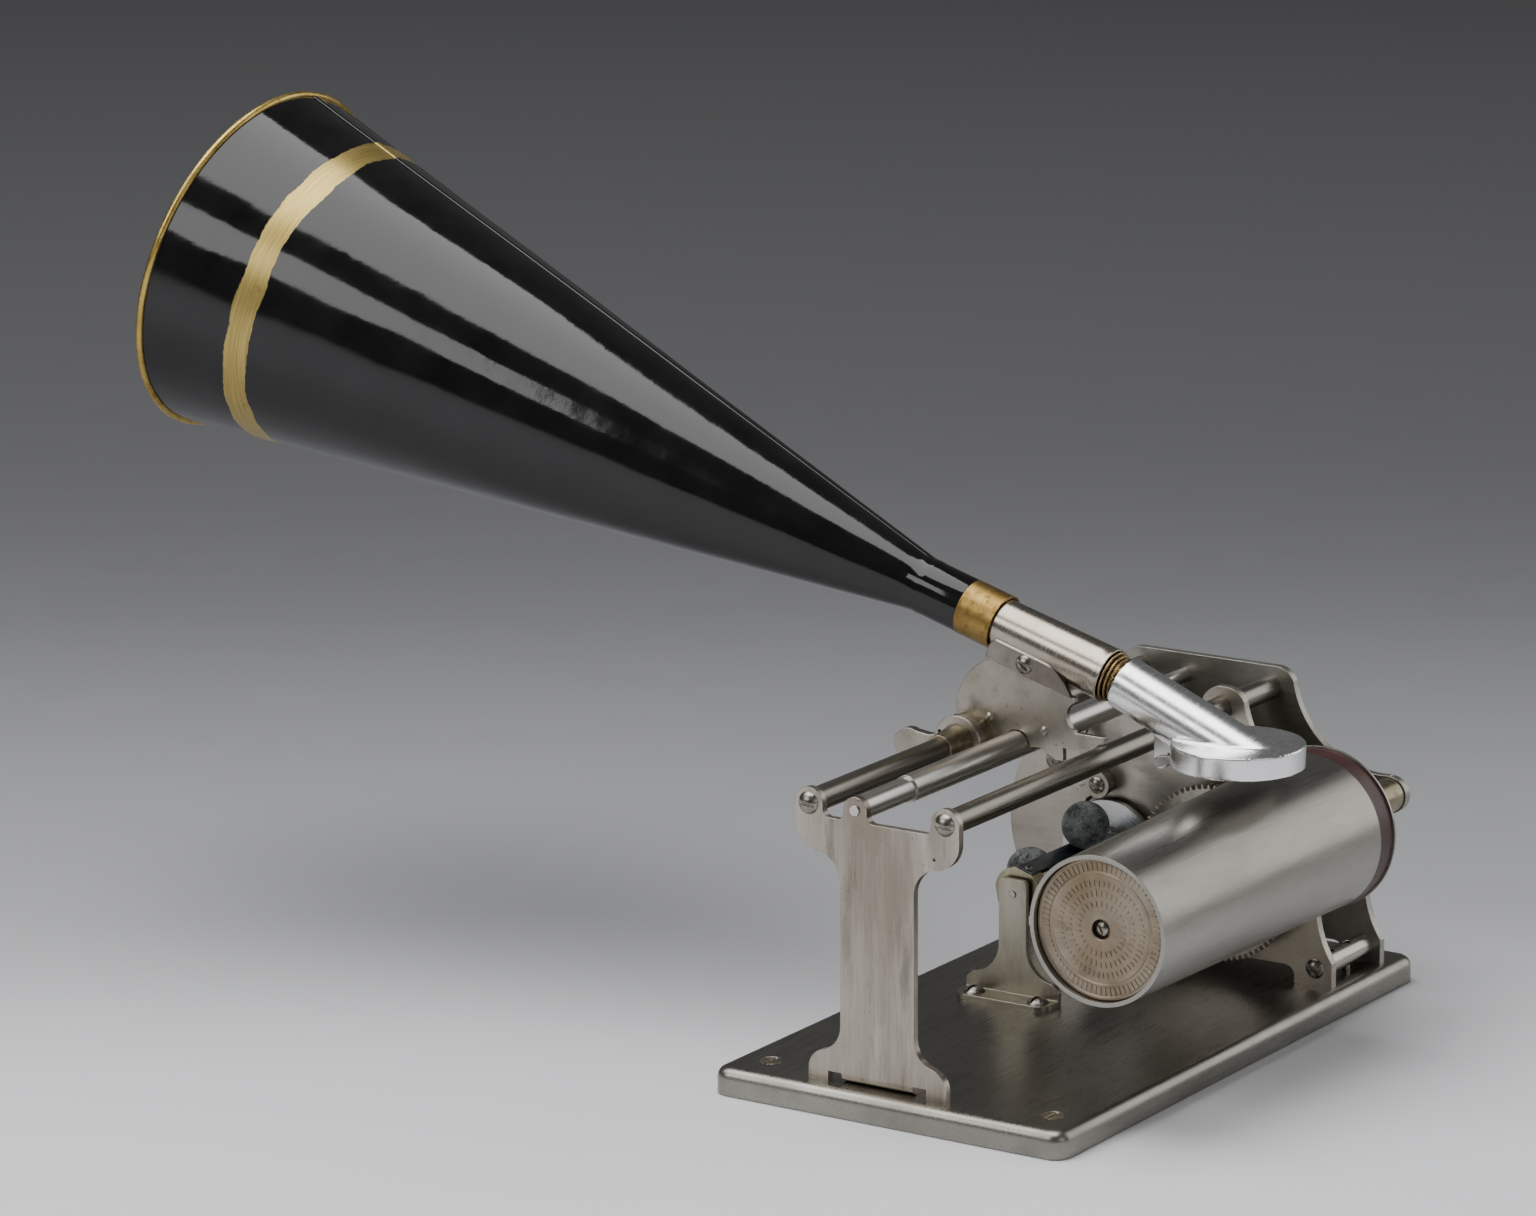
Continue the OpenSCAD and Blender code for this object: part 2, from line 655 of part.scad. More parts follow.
// Bores that both motor plates have
module plate_bores(x, rod_bore) {
    for (at = [front_rod_at, rear_rod_at]) plate_bore(x, at, rod_bore);
    for (at = pillars_at) plate_bore(x, at, pillar_screw[2]);
    plate_bore(x, feed_at, feed_neck_d);
    plate_bore(x, mandrel_at, shaft_d);
    plate_bore(x, great_at, great_arbor_d);
    plate_bore(x, spring_at, arbor_d);
}

module motor_plate_front() {
    color("#9a9284") difference() {
        across(front_x, plate_t) motor_outline(true);
        plate_bores(front_x, rod_d);
        plate_bore(front_x, governor_at, spindle_d);
        plate_bore(front_x, step_at, stud_d);
        plate_bore(front_x, brake_at, stud_d);
    }
}

module motor_plate_rear() {
    color("#8f887b") difference() {
        across(rear_x, plate_t) motor_outline(false);
        plate_bores(rear_x, rod_screw[2]);
        for (at = [reduction_at, idler_lower_at, idler_upper_at]) plate_bore(rear_x, at, stud_d);
    }
}

module guide_rod(at) {
    difference() {
        bar(rods_x0, rear_x, at, rod_d);
        on_minus_x(end_x, at) screw_hole(rod_screw);
        on_x(rear_face, at) screw_hole(rod_screw);
    }
}
module rear_rod() { color("#8a857c") guide_rod(rear_rod_at); }
module front_rod() { color("#8f897e") guide_rod(front_rod_at); }

module pillars() {
    color("#9a948a") for (at = pillars_at) difference() {
        bar(front_face, rear_x, at, pillar_d);
        on_minus_x(front_x, at) screw_hole(pillar_screw);
        on_x(rear_face, at) screw_hole(pillar_screw);
        at_bolts() cylinder(d = 2.2 + 2 * fit, h = near_pillar_at[1] + 10);
    }
}

module rod_screws() {
    color("#a8a096") for (at = [front_rod_at, rear_rod_at]) {
        on_minus_x(end_x, at) dome_screw(rod_screw, 80);
        on_x(rear_face, at) dome_screw(rod_screw, 20);
    }
}

module pillar_screws() {
    color("#a8a096") for (at = pillars_at) {
        on_minus_x(front_x, at) dome_screw(pillar_screw, 60);
        on_x(rear_face, at) dome_screw(pillar_screw, 10);
    }
}

module foot_screws() {
    color("#9c958b") at_feet() dome_screw(foot_screw, 35);
}

// Upright of the governor bracket in its own [w, z] plane
module bracket_outline() {
    half_w = 4.4;
    base_half_w = flange_w / 2;
    base_h = 6;
    base_r = 2.8;
    flare_r = 9.5;
    top_r = 1.5;
    top_z = governor_z + 4.3;
    translate([-half_w, bed_h]) square([2 * half_w, top_z - top_r - bed_h]);
    translate([-half_w + top_r, bed_h]) square([2 * (half_w - top_r), top_z - bed_h]);
    translate([-base_half_w, bed_h]) square([2 * base_half_w, base_h - base_r]);
    translate([-base_half_w + base_r, bed_h]) square([2 * (base_half_w - base_r), base_h]);
    for (s = [-1, 1]) {
        translate([s * (half_w - top_r), top_z - top_r]) circle(top_r);
        translate([s * (base_half_w - base_r), bed_h + base_h - base_r]) circle(base_r);
        inner_corner([s * half_w, bed_h + base_h], flare_r, s);
    }
}

// Flange of the bracket on the bedplate, round at its free corners
module bracket_flange() {
    reach = 7.8;
    round_r = 4;
    translate([bracket_x - reach, governor_y - flange_w / 2, bed_h]) linear_extrude(bracket_t) {
        translate([round_r, 0]) square([reach + bracket_t - round_r, flange_w]);
        translate([0, round_r]) square([round_r + eps, flange_w - 2 * round_r]);
        for (y = [round_r, flange_w - round_r]) translate([round_r, y]) circle(round_r);
    }
}
flange_w = 29.8;

module governor_bracket() {
    color("#8e846c") difference() {
        union() {
            translate([0, governor_y, 0]) across(bracket_x, bracket_t) bracket_outline();
            bracket_flange();
        }
        bar(bracket_x - 1, bracket_face + 1, governor_at, 2 + 2 * fit);
        at_bracket() screw_hole(bracket_screw);
    }
}

module bracket_screws() {
    color("#a39b90") at_bracket() dome_screw(bracket_screw, -20);
}

// Shoulder stud of the brake lever on the front motor plate
module brake_stud() {
    color("#a5957f") {
        bar(brake_x + 1.6, front_x, brake_at, 6.6);
        bar(front_x - eps, front_face, brake_at, stud_d);
        bar(brake_x - 0.2, brake_x + 1.6 + eps, brake_at, brake_neck_d);
        on_minus_x(brake_x - 0.2, brake_at) dome_screw([5, 1.3, 2, 1], 70);
    }
}

// Studs that carry the step-up wheel, the reduction wheel and the two feed idlers
module train_studs() {
    color("#98938a") {
        bar(front_x, layer2_x + gear_t + 1.2, step_at, stud_d);
        bar(layer2_x + gear_t + 1.2 - eps, layer2_x + gear_t + 1.8, step_at, stud_d + 1.2);
        bar(layer3_x - 0.3, rear_face, reduction_at, stud_d);
        bar(layer3_x - 0.9, layer3_x - 0.3 + eps, reduction_at, stud_d + 1.2);
        for (at = [idler_lower_at, idler_upper_at]) {
            bar(rear_x, feed_gear_x + gear_t + 0.6, at, stud_d);
            bar(feed_gear_x + gear_t + 0.6 - eps, feed_gear_x + gear_t + 1.6, at, stud_d + 2);
        }
    }
}

// The mandrel turns on its shaft; its drum tapers towards the end plate
module mandrel_drum() {
    hub_d = shaft_d + 6;
    color("#a39d92") difference() {
        union() {
            on_x(drum_x, mandrel_at) difference() {
                cylinder(r1 = drum_r1, r2 = drum_r2, h = drum_l);
                translate([0, 0, -eps])
                    cylinder(r1 = drum_r1 - drum_wall, r2 = drum_r2 - drum_wall, h = drum_l + 2 * eps);
            }
            on_x(band_x - 3, mandrel_at) cylinder(r = drum_r2 - drum_wall + cut, h = 3);
            bar(band_x - 12, band_x, mandrel_at, hub_d);
        }
        bar(band_x - 13, band_x + 1, mandrel_at, shaft_d + 2 * fit);
    }
}

module mandrel_cap() {
    cap_r = drum_r1 - drum_wall - fit;
    color("#b59d86") difference() {
        union() {
            on_x(drum_x + cap_recess, mandrel_at) cylinder(r = cap_r, h = 1.6);
            on_x(drum_x + cap_recess, mandrel_at) cylinder(d = 12, h = 4);
        }
        on_x(drum_x + cap_recess - 1, mandrel_at) cylinder(d = 5.4, h = 1 + 0.8);
        on_minus_x(drum_x + cap_recess + 0.8, mandrel_at) screw_hole(cap_screw_size);
    }
}

module cap_screw() {
    color("#8f877c") on_minus_x(drum_x + cap_recess + 0.8, mandrel_at) dome_screw(cap_screw_size, 25);
}

module mandrel_shaft() {
    color("#9b968e") difference() {
        union() {
            bar(drum_x + cap_recess + 4, rear_face + 1.6, mandrel_at, shaft_d);
            bar(front_face + seat, rear_x - seat, mandrel_at, 2 * nose_r - 0.8);
        }
        on_minus_x(drum_x + cap_recess + 0.8, mandrel_at) screw_hole(cap_screw_size);
    }
}

module fibre_band() {
    color("#5e2a26") on_x(band_x, mandrel_at) difference() {
        cylinder(r = drum_r2, h = band_w);
        translate([0, 0, -1]) cylinder(d = shaft_d + 2 * fit, h = band_w + 2);
    }
}

module mandrel_flange() {
    color("#a8a196") on_x(flange_x, mandrel_at) difference() {
        cylinder(r = drum_r2 + 0.6, h = flange_t);
        translate([0, 0, -1]) cylinder(d = shaft_d + 2 * fit, h = flange_t + 2);
    }
}

module mandrel_gear() {
    color("#9c8c66") difference() {
        union() {
            wheel(great_x, great_t, mandrel_at, great_module, mandrel_teeth, mandrel_phase,
                shaft_d + 2 * fit);
            bar(flange_x + flange_t, front_x - seat, mandrel_at, shaft_d + 3.6);
        }
        bar(flange_x, front_x, mandrel_at, shaft_d + 2 * fit);
    }
}

module great_wheel() {
    color("#9d9383") difference() {
        union() {
            wheel(great_x, great_t, great_at, great_module, great_teeth, great_phase,
                great_arbor_d + 2 * fit);
            bar(great_x - 1.5, front_x - seat, great_at, great_arbor_d + 5);
        }
        bar(great_x - 2, front_x, great_at, great_arbor_d + 2 * fit);
    }
}

// Arbor with the reduction pinion between the plates and the feed pinion behind them
module great_arbor() {
    color("#97928a") {
        bar(great_x - 1.5, feed_gear_x + gear_t, great_at, great_arbor_d);
        wheel(layer3_x - 0.4, gear_t + 0.8, great_at, reduction_module, reduction_pinion_teeth,
            great_phase, 1);
        wheel(feed_gear_x, gear_t, great_at, feed_module, feed_drive_teeth, great_phase, 1);
    }
}

module governor_wheel() {
    color("#b0985a") difference() {
        union() {
            wheel(layer2_x, gear_t, great_at, step_module, step_wheel_teeth, great_phase,
                great_arbor_d + 2 * fit);
            bar(front_face + seat, layer2_x + gear_t + 1, great_at, great_arbor_d + 4);
        }
        bar(front_face, layer3_x, great_at, great_arbor_d + 2 * fit);
    }
}

module step_up_wheel() {
    color("#b0985a") difference() {
        union() {
            wheel(layer1_x, gear_t, step_at, step_module, governor_wheel_teeth, step_phase,
                stud_d + 2 * fit);
            wheel(layer1_x, layer2_x + gear_t - layer1_x, step_at, step_module, step_pinion_teeth,
                step_phase, stud_d + 2 * fit);
        }
        bar(front_face, layer3_x, step_at, stud_d + 2 * fit);
    }
}

module reduction_wheel() {
    color("#b0985a") difference() {
        union() {
            wheel(layer3_x, gear_t, reduction_at, reduction_module, reduction_teeth, reduction_phase,
                stud_d + 2 * fit);
            wheel(layer3_x + gear_t - eps, layer4_x - layer3_x + 0.6, reduction_at, spring_module,
                spring_pinion_teeth, reduction_phase, stud_d + 2 * fit);
            bar(layer4_x + gear_t + 0.5, rear_x - seat, reduction_at, stud_d + 2.4);
        }
        bar(layer3_x - 1, rear_x, reduction_at, stud_d + 2 * fit);
    }
}

// The spring wheel runs on the winding arbor and carries the click on a pin, with the leaf that presses it
module spring_wheel() {
    foot = spring_at + polar(18, 20);
    end = click_at + polar(click_r + seat, 0);
    color("#b39a5c") difference() {
        union() {
            wheel(layer4_x, gear_t, spring_at, spring_module, spring_teeth, spring_phase,
                arbor_d + 2 * fit);
            bar(layer4_x - 3.2, layer4_x + eps, click_at, click_pin_d);
            bar(layer4_x - 3.8, layer4_x - 3.2 + eps, click_at, click_pin_d + 1.6);
            across(layer4_x - 1.7, 1.2) strip(foot, end, 0.4);
            bar(layer4_x - 1.7, layer4_x + eps, foot, 2);
        }
        bar(layer4_x - 1, layer4_x + gear_t + 1, spring_at, arbor_d + 2 * fit);
    }
}

// Flat spiral from the hub out to the upper pillar
module mainspring() {
    steps = 24;
    n = spring_turns * steps;
    r0 = spring_hub_r + seat + spring_t / 2;
    function r_at(i) = r0 + (spring_out_r - r0) * i / n;
    function a_at(i) = spring_end_angle + (i - n) * 360 / steps;
    outer = [for (i = [0 : n]) polar(r_at(i) + spring_t / 2, a_at(i))];
    inner = [for (i = [n : -1 : 0]) polar(r_at(i) - spring_t / 2, a_at(i))];
    color("#4a4f57") across(spring_x, spring_w) translate(spring_at) polygon(concat(outer, inner));
}

// Saw-toothed ratchet outline
module ratchet() {
    polygon([for (i = [0 : ratchet_teeth - 1]) for (k = [0, 1])
        polar(ratchet_r - k * ratchet_depth, 360 / ratchet_teeth * (i + k * 0.12))]);
}

module winding_arbor() {
    square_l = 8;
    color("#8f8a82") {
        bar(front_x, rear_face + 1.5, spring_at, arbor_d);
        across(layer4_x - 2.2, 1.9) translate(spring_at) ratchet();
        bar(layer4_x + gear_t + seat, spring_x + spring_w, spring_at, 2 * spring_hub_r);
        across(rear_face + 1.5 - eps, square_l) translate(spring_at) square(square_w, center = true);
    }
}

// Pawl that rides over the ratchet's teeth
module click() {
    tip = spring_at + polar(ratchet_r + 0.15, 10);
    mid = spring_at + polar(ratchet_r + 2.4, 22);
    color("#8a857d") across(layer4_x - 2.2, 1.7) difference() {
        union() {
            translate(click_at) circle(click_r);
            polygon([click_at + polar(click_r - 0.1, 200), tip, mid, click_at + polar(click_r - 0.1, 20)]);
        }
        translate(click_at) circle(d = click_pin_d + 2 * fit);
        translate(spring_at) circle(ratchet_r + 0.14);
    }
}

module winding_key() {
    key_x0 = rear_face + 3;
    key_l = 9;
    grip_t = 2.4;
    grip_h = 12;
    color("#8d877d") difference() {
        union() {
            bar(key_x0, key_x0 + key_l, spring_at, 8);
            translate([key_x0 + key_l + grip_h / 2 - 3, spring_at[0], spring_at[1]]) rotate([0, 0, 90])
                linear_extrude(grip_t, center = true) key_grip(grip_h);
        }
        across(key_x0 - 1, key_l - 1) translate(spring_at) square(square_w + 2 * fit, center = true);
    }
}

// Two round wings of the key, seen face on
module key_grip(h) {
    square([key_span - h, h * 0.6], center = true);
    for (s = [-1, 1]) translate([s * (key_span - h) / 2, 0]) circle(d = h);
}

// Spindle with its pinion, turned down where it runs in the bracket
module governor_spindle() {
    color("#7d7a76") {
        bar(bracket_x - 0.4, bracket_face + 0.5 + eps, governor_at, 2);
        bar(bracket_face + 0.5, layer1_x, governor_at, spindle_d);
        wheel(layer1_x - 0.6, gear_t + 0.9, governor_at, step_module, governor_pinion_teeth,
            governor_phase, 0.8);
        bar(layer1_x - 0.7, layer1_x + gear_t + 0.4, governor_at, 2);
    }
}

// Round boss with one flat for each leaf spring
module flatted_boss(x, l, bore) {
    difference() {
        bar(x, x + l, governor_at, 2 * collar_r);
        for (i = [0 : balls - 1])
            at_leaf(i) translate([x - 1, -collar_r, leaf_r]) cube([l + 2, 2 * collar_r, 5]);
        bar(x - 1, x + l + 1, governor_at, bore);
        at_leaf_screws() screw_hole(leaf_screw);
    }
}

// Turns a child so that its Z axis points from the spindle to ball i
module at_leaf(i) {
    translate([0, governor_at[0], governor_at[1]]) rotate([ball_phase - 90 + i * 360 / balls, 0, 0])
        children();
}
module at_leaf_screws() {
    for (i = [0 : balls - 1]) for (x = leaf_screws_x)
        at_leaf(i) translate([x, 0, leaf_r + leaf_t]) children();
}

module governor_collar() {
    color("#8b8166") flatted_boss(collar_x, collar_l, spindle_d + 2 * fit);
}

module governor_disc() {
    color("#c4c2be") {
        flatted_boss(governor_disc_x - disc_hub_l, disc_hub_l + eps, spindle_d + 2 * fit);
        difference() {
            bar(governor_disc_x, governor_disc_x + disc_t, governor_at, 2 * disc_r);
            bar(governor_disc_x - 1, governor_disc_x + disc_t + 1, governor_at, spindle_d + 2 * fit);
        }
    }
}

module governor_springs() {
    color("#3f4652") for (i = [0 : balls - 1]) at_leaf(i) difference() {
        translate([leaf_x0, -leaf_w / 2, leaf_r]) cube([leaf_x1 - leaf_x0, leaf_w, leaf_t]);
        for (x = [leaf_screws_x[0], leaf_screws_x[1], ball_x])
            translate([x, 0, leaf_r - 1]) cylinder(d = leaf_screw[2] + 2 * fit, h = 3);
    }
}

module governor_balls() {
    color("#4b4e4d") for (i = [0 : balls - 1]) at_leaf(i) translate([ball_x, 0, ball_r]) difference() {
        sphere(d = ball_d);
        translate([0, 0, -ball_d / 2 - 1]) cylinder(d = ball_screw[2] + 2 * fit, h = 5);
        translate([-5, -5, -ball_d / 2 - 5]) cube([10, 10, 5 + fit]);
    }
}

module governor_screws() {
    color("#a79d8d") {
        at_leaf_screws() dome_screw(leaf_screw);
        for (i = [0 : balls - 1])
            at_leaf(i) translate([ball_x, 0, leaf_r]) rotate([180, 0, 0]) dome_screw(ball_screw);
    }
}

// Start and stop lever: a pad at the rim of the friction disc and a finger piece above
module brake_lever() {
    pad_angle = 60;
    pad_r = 2.6;
    pad_at = governor_at + polar(disc_r + seat + pad_r, pad_angle);
    finger_at = brake_at + [7, 16];
    color("#8e8069") {
        across(brake_x, 1.4) difference() {
            union() {
                translate(brake_at) circle(3.8);
                strip(brake_at, pad_at, 3.4);
                strip(brake_at, finger_at, 3.4);
                translate(finger_at) circle(3.4);
            }
            translate(brake_at) circle(d = brake_neck_d + 2 * fit);
        }
        bar(brake_x, governor_disc_x + disc_t, pad_at, 2 * pad_r);
    }
}

// Straight band of width w from p to q
module strip(p, q, w) {
    translate(p) rotate(bearing(p, q)) translate([0, -w / 2]) square([norm(q - p), w]);
}

// The feed screw runs in the end plate and the motor plates; its thread is too fine to cut here
module feed_screw() {
    color("#7f7c78") {
        bar(end_x - 0.5, rods_x0 + seat + eps, feed_at, feed_pivot_d);
        bar(rods_x0 + seat, rods_x0 + stub_l, feed_at, stub_d);
        bar(rods_x0 + stub_l - eps, front_x - seat, feed_at, feed_d);
        bar(front_x - seat - eps, feed_gear_x + gear_t + 0.4, feed_at, feed_neck_d);
    }
}

module feed_gear() {
    color("#a8925c")
        wheel(feed_gear_x, gear_t, feed_at, feed_module, feed_teeth, feed_phase, feed_neck_d + 2 * fit);
}

module feed_idler(at, phase) {
    wheel(feed_gear_x, gear_t, at, feed_module, idler_teeth, phase, stud_d + 2 * fit);
}

module feed_idler_lower() {
    color("#a8925c") feed_idler(idler_lower_at, idler_lower_phase);
}

module feed_idler_upper() {
    color("#a8925c") feed_idler(idler_upper_at, idler_upper_phase);
}

// Sleeve that slides on the rear rod
module carriage_bushing() {
    nose_l = 9;
    nose_end_r = bushing_r - 0.9;
    color("#7c7669") difference() {
        union() {
            on_x(bushing_x0, rear_rod_at) cylinder(r1 = nose_end_r, r2 = bushing_r, h = nose_l);
            bar(bushing_x0 + nose_l - eps, bushing_x1, rear_rod_at, 2 * bushing_r);
            bar(bushing_x1 - eps, bushing_x1 + 1.6, rear_rod_at, 2 * hub_r);
        }
        bar(bushing_x0 - 1, bushing_x1 + 3, rear_rod_at, rod_d + 2 * fit);
    }
}
bushing_x0 = carriage_x - 17;
bushing_x1 = carriage_x + 14;
hub_x0 = carriage_x - 4.6;

module carriage_outline() {
    finger_top = rod_z + 5.5;
    notch_x = notch_at[0] + plate_notch_r;
    low_z = rod_z - 2.8;
    notch_lip = 1.9;
    back_c = [rear_rod_y - 11.5, rod_z + 7.4];
    difference() {
        union() {
            intersection() {
                translate(back_c) circle(carriage_back_r);
                translate([back_c[0] - 20, rod_z + 1]) square(60);
            }
            polygon([tone_at + [18, -4.6], tone_at + [-9.3, -11.6], tone_at + [-9.3, -26],
                [notch_x + 1, finger_top - 4.6], [notch_x + 1, low_z], [feed_y - 12.3, low_z],
                [feed_y - 7.4, rod_z], [rear_rod_y - 4, rod_z - 1]]);
            translate(rear_rod_at) circle(hub_r + 0.8);
            translate([front_rod_y + 0.2, finger_top - 4.6]) square([notch_x - front_rod_y + 2, 4.6]);
        }
        translate(notch_at) circle(plate_notch_r);
        translate([notch_at[0] - 10, notch_at[1]]) square([10 + notch_lip, 20]);
        translate([notch_at[0] - 10, finger_top]) square([10, 20]);
        translate(front_rod_at) circle(rod_d / 2 + seat);
        translate(feed_at) circle(feed_d / 2 + seat);
        translate(feed_at + [-feed_d / 2 - seat, -10]) square([feed_d + 2 * seat, 10]);
        translate(rear_rod_at) circle(bushing_r + fit);
    }
}

module carriage_plate() {
    color("#a79c8b") difference() {
        across(carriage_x, carriage_t) carriage_outline();
        for (at = rivets_at) bar(carriage_x - 1, carriage_x + carriage_t + 1, at, 1.6 + 2 * fit);
        at_clamp_screw() screw_hole(clamp_screw_size);
        on_tone() cylinder(d = tone_d + 2 * cradle_t + 4 * fit, h = 200, center = true);
    }
}

// Collar that joins the carriage plate to the bushing
module carriage_hub() {
    color("#8d8265") difference() {
        bar(hub_x0, carriage_x, rear_rod_at, 2 * hub_r);
        bar(hub_x0 - 1, carriage_x + 1, rear_rod_at, 2 * (bushing_r + fit));
    }
}

// Thumb piece behind the rear rod; pressing it lifts the reproducer
module lift_lever() {
    end_r = 4.6;
    neck_w = 5;
    end_at = rear_rod_at + [15.8, -2.7];
    neck_start = rear_rod_at + [hub_r - 0.8, -1.1];
    neck_at = rear_rod_at + [9.5, -1.4];
    x0 = hub_x0 - lever_t;
    color("#9b9182") difference() {
        union() {
            bar(x0, x0 + lever_t, rear_rod_at, 2 * hub_r + 0.6);
            across(x0, lever_t) strip(neck_start, end_at, neck_w);
            bar(x0, x0 + lever_t, end_at, 2 * end_r);
            across(x0, lever_t)
                polygon([neck_at + [0, neck_w / 2 - 0.2], end_at + [0.5, end_r - 0.2],
                    end_at + [0.5, 0.2 - end_r], neck_at + [0, 0.2 - neck_w / 2]]);
        }
        bar(x0 - 1, x0 + lever_t + 1, rear_rod_at, 2 * (bushing_r + fit));
        bar(x0 - 1, x0 + lever_t + 1, rear_rod_at + [5.7, 2.4], 1.1);
    }
}

module carriage_rivets() {
    color("#a79c8b") for (at = rivets_at) {
        bar(carriage_x - 0.02, carriage_x + carriage_t + 0.8, at, 1.6);
        on_minus_x(carriage_x, at) intersection() {
            translate([0, 0, -1.3]) sphere(1.9);
            cylinder(d = 3, h = 1);
        }
    }
}

// Brass block that rests on the feed screw
module half_nut() {
    color("#a08443") difference() {
        translate([carriage_x + carriage_t + 1, feed_y - 3, rod_z]) cube([half_nut_l, 6, feed_d / 2 + 3]);
        bar(carriage_x, carriage_x + 40, feed_at, feed_d + 2 * seat);
    }
}

// Spring leaf riveted behind the carriage plate; its arm presses the half nut down
module half_nut_spring() {
    leaf_z = rod_z + feed_d / 2 + 3;
    leaf_y0 = rivets_at[1][0] - 2.4;
    color("#5b5d62") {
        difference() {
            translate([carriage_x + carriage_t, leaf_y0, rod_z + 3])
                cube([0.8, rivets_at[0][0] + 2.4 - leaf_y0, 5.4]);
            for (at = rivets_at) bar(carriage_x, carriage_x + 5, at, 1.6 + 2 * fit);
            bar(carriage_x, carriage_x + 5, feed_at, feed_d + 2 * seat);
            bar(carriage_x, carriage_x + 5, rear_rod_at, 2 * bushing_r + 2 * seat);
        }
        translate([carriage_x + carriage_t, feed_y - 3, leaf_z]) cube([1 + half_nut_l, 6, 0.6]);
        translate([carriage_x + carriage_t, feed_y - 3, leaf_z - 2]) cube([0.8, 6, 2.4]);
    }
}

module at_clamp_screw() {
    on_minus_x(carriage_x - 1.5, tone_at + [5.8, -3.8]) children();
}

// Clamp plate on the carriage with a cradle round the tube's underside
module tube_clamp() {
    color("#a1978a") difference() {
        union() {
            translate([carriage_x - 1.5, tone_at[0], tone_at[1]]) rotate([tone_tilt, 0, 0])
                across(0, 1.5) clamp_outline();
            on_tone() translate([0, 0, clamp_s0 + 4]) intersection() {
                cylinder(d = tone_d + 2 * cradle_t + 2 * fit, h = clamp_s1 - clamp_s0 - 8);
                translate([-tone_offset - eps, 1.4, -1]) cube([40, 20, 60]);
            }
        }
        on_tone() cylinder(d = tone_d + 2 * fit, h = 200, center = true);
        at_clamp_screw() screw_hole(clamp_screw_size);
    }
}

// Clamp plate face on: s runs along the tube and n points up from its axis
module clamp_outline() {
    arc_c = [3, -20];
    arc_r = 18.8;
    intersection() {
        union() {
            translate(arc_c) circle(arc_r);
            translate([3, clamp_low]) square([clamp_s1 - 3 - 4.4, 7.1]);
            translate([3, clamp_low]) square([clamp_s1 - 3, 2.7]);
            translate([clamp_s1 - 4.4, clamp_low + 2.7]) circle(4.4);
        }
        translate([clamp_s0, clamp_low]) square([clamp_s1 - clamp_s0, 20]);
    }
}

module clamp_screw() {
    color("#a8a096") at_clamp_screw() dome_screw(clamp_screw_size, 55);
}

module tone_tube() {
    color("#b4afa5") on_tone() translate([0, 0, tube_s0]) difference() {
        cylinder(d = tone_d, h = tube_s1 - tube_s0);
        translate([0, 0, -1]) cylinder(d = tone_d - 2 * tone_wall, h = tube_s1 - tube_s0 + 2);
    }
}

// Two rings and a sleeve that join the tube to the reproducer's neck
module coupling_rings() {
    sleeve_d = tone_d - 2 * tone_wall - 2 * fit;
    color("#8f6f42") on_tone() difference() {
        union() {
            translate([0, 0, neck_s0 - 2.5]) cylinder(d = spigot_d - 1.2, h = ring_l + 6);
            translate([0, 0, tube_s0 + eps]) cylinder(d = sleeve_d, h = 6);
            translate([0, 0, neck_s0 + 2.6]) cylinder(d = tone_d - 0.8, h = ring_l - 2.6);
            translate([0, 0, neck_s0 + 0.9]) cylinder(d = tone_d - 2, h = 1.2);
        }
        translate([0, 0, neck_s0 - 5]) cylinder(d = spigot_d - 3, h = 30);
    }
}

// Frame whose Z axis runs from the neck's start down to the middle of the disc
module on_neck() {
    translate([tone_x, neck_start[0], neck_start[1]]) rotate([neck_tilt + 90, 0, 0]) children();
}

module reproducer_body() {
    lug_top = record_z + 7.8;
    arm_notch_z = record_z + 1.9;
    color("#c6c8ca") difference() {
        union() {
            translate([tone_x, mandrel_y, disc_z]) cylinder(d = disc_d, h = disc_h);
            intersection() {
                on_neck() cylinder(d = neck_d, h = neck_l + 14);
                translate([tone_x - 50, mandrel_y - 50, disc_z + 0.5]) cube([100, 120, 60]);
            }
            across(tone_x - lug_w / 2, lug_w) {
                translate([lug_y - lug_r, stylus_pin_at[1]])
                    square([2 * lug_r, lug_top - stylus_pin_at[1]]);
                translate([lug_y - lug_r - 6, disc_z]) square([6 + cut, lug_top - disc_z - 0.8]);
                translate([lug_y, stylus_pin_at[1]]) circle(lug_r);
            }
        }
        on_neck() translate([0, 0, -1]) cylinder(d = spigot_d, h = neck_l + 1);
        translate([tone_x, mandrel_y, disc_z - 1])
            cylinder(d = chamber_d, h = diaphragm_z + diaphragm_t + 1 - disc_z);
        translate([tone_x, mandrel_y, disc_z]) cylinder(d = chamber_d - 3, h = disc_h - casting_wall);
        bar(tone_x - 20, tone_x + 20, stylus_pin_at, stylus_pin_d + 2 * fit);
        translate([tone_x - lug_w / 2 - 1.6, mandrel_y, disc_z - 1])
            cube([lug_w + 3.2, disc_d / 2 + 0.6, arm_notch_z + 1 - disc_z]);
    }
}

module diaphragm() {
    color("#d8d2be") translate([tone_x, mandrel_y, diaphragm_z])
        cylinder(d = chamber_d - 0.4, h = diaphragm_t);
}

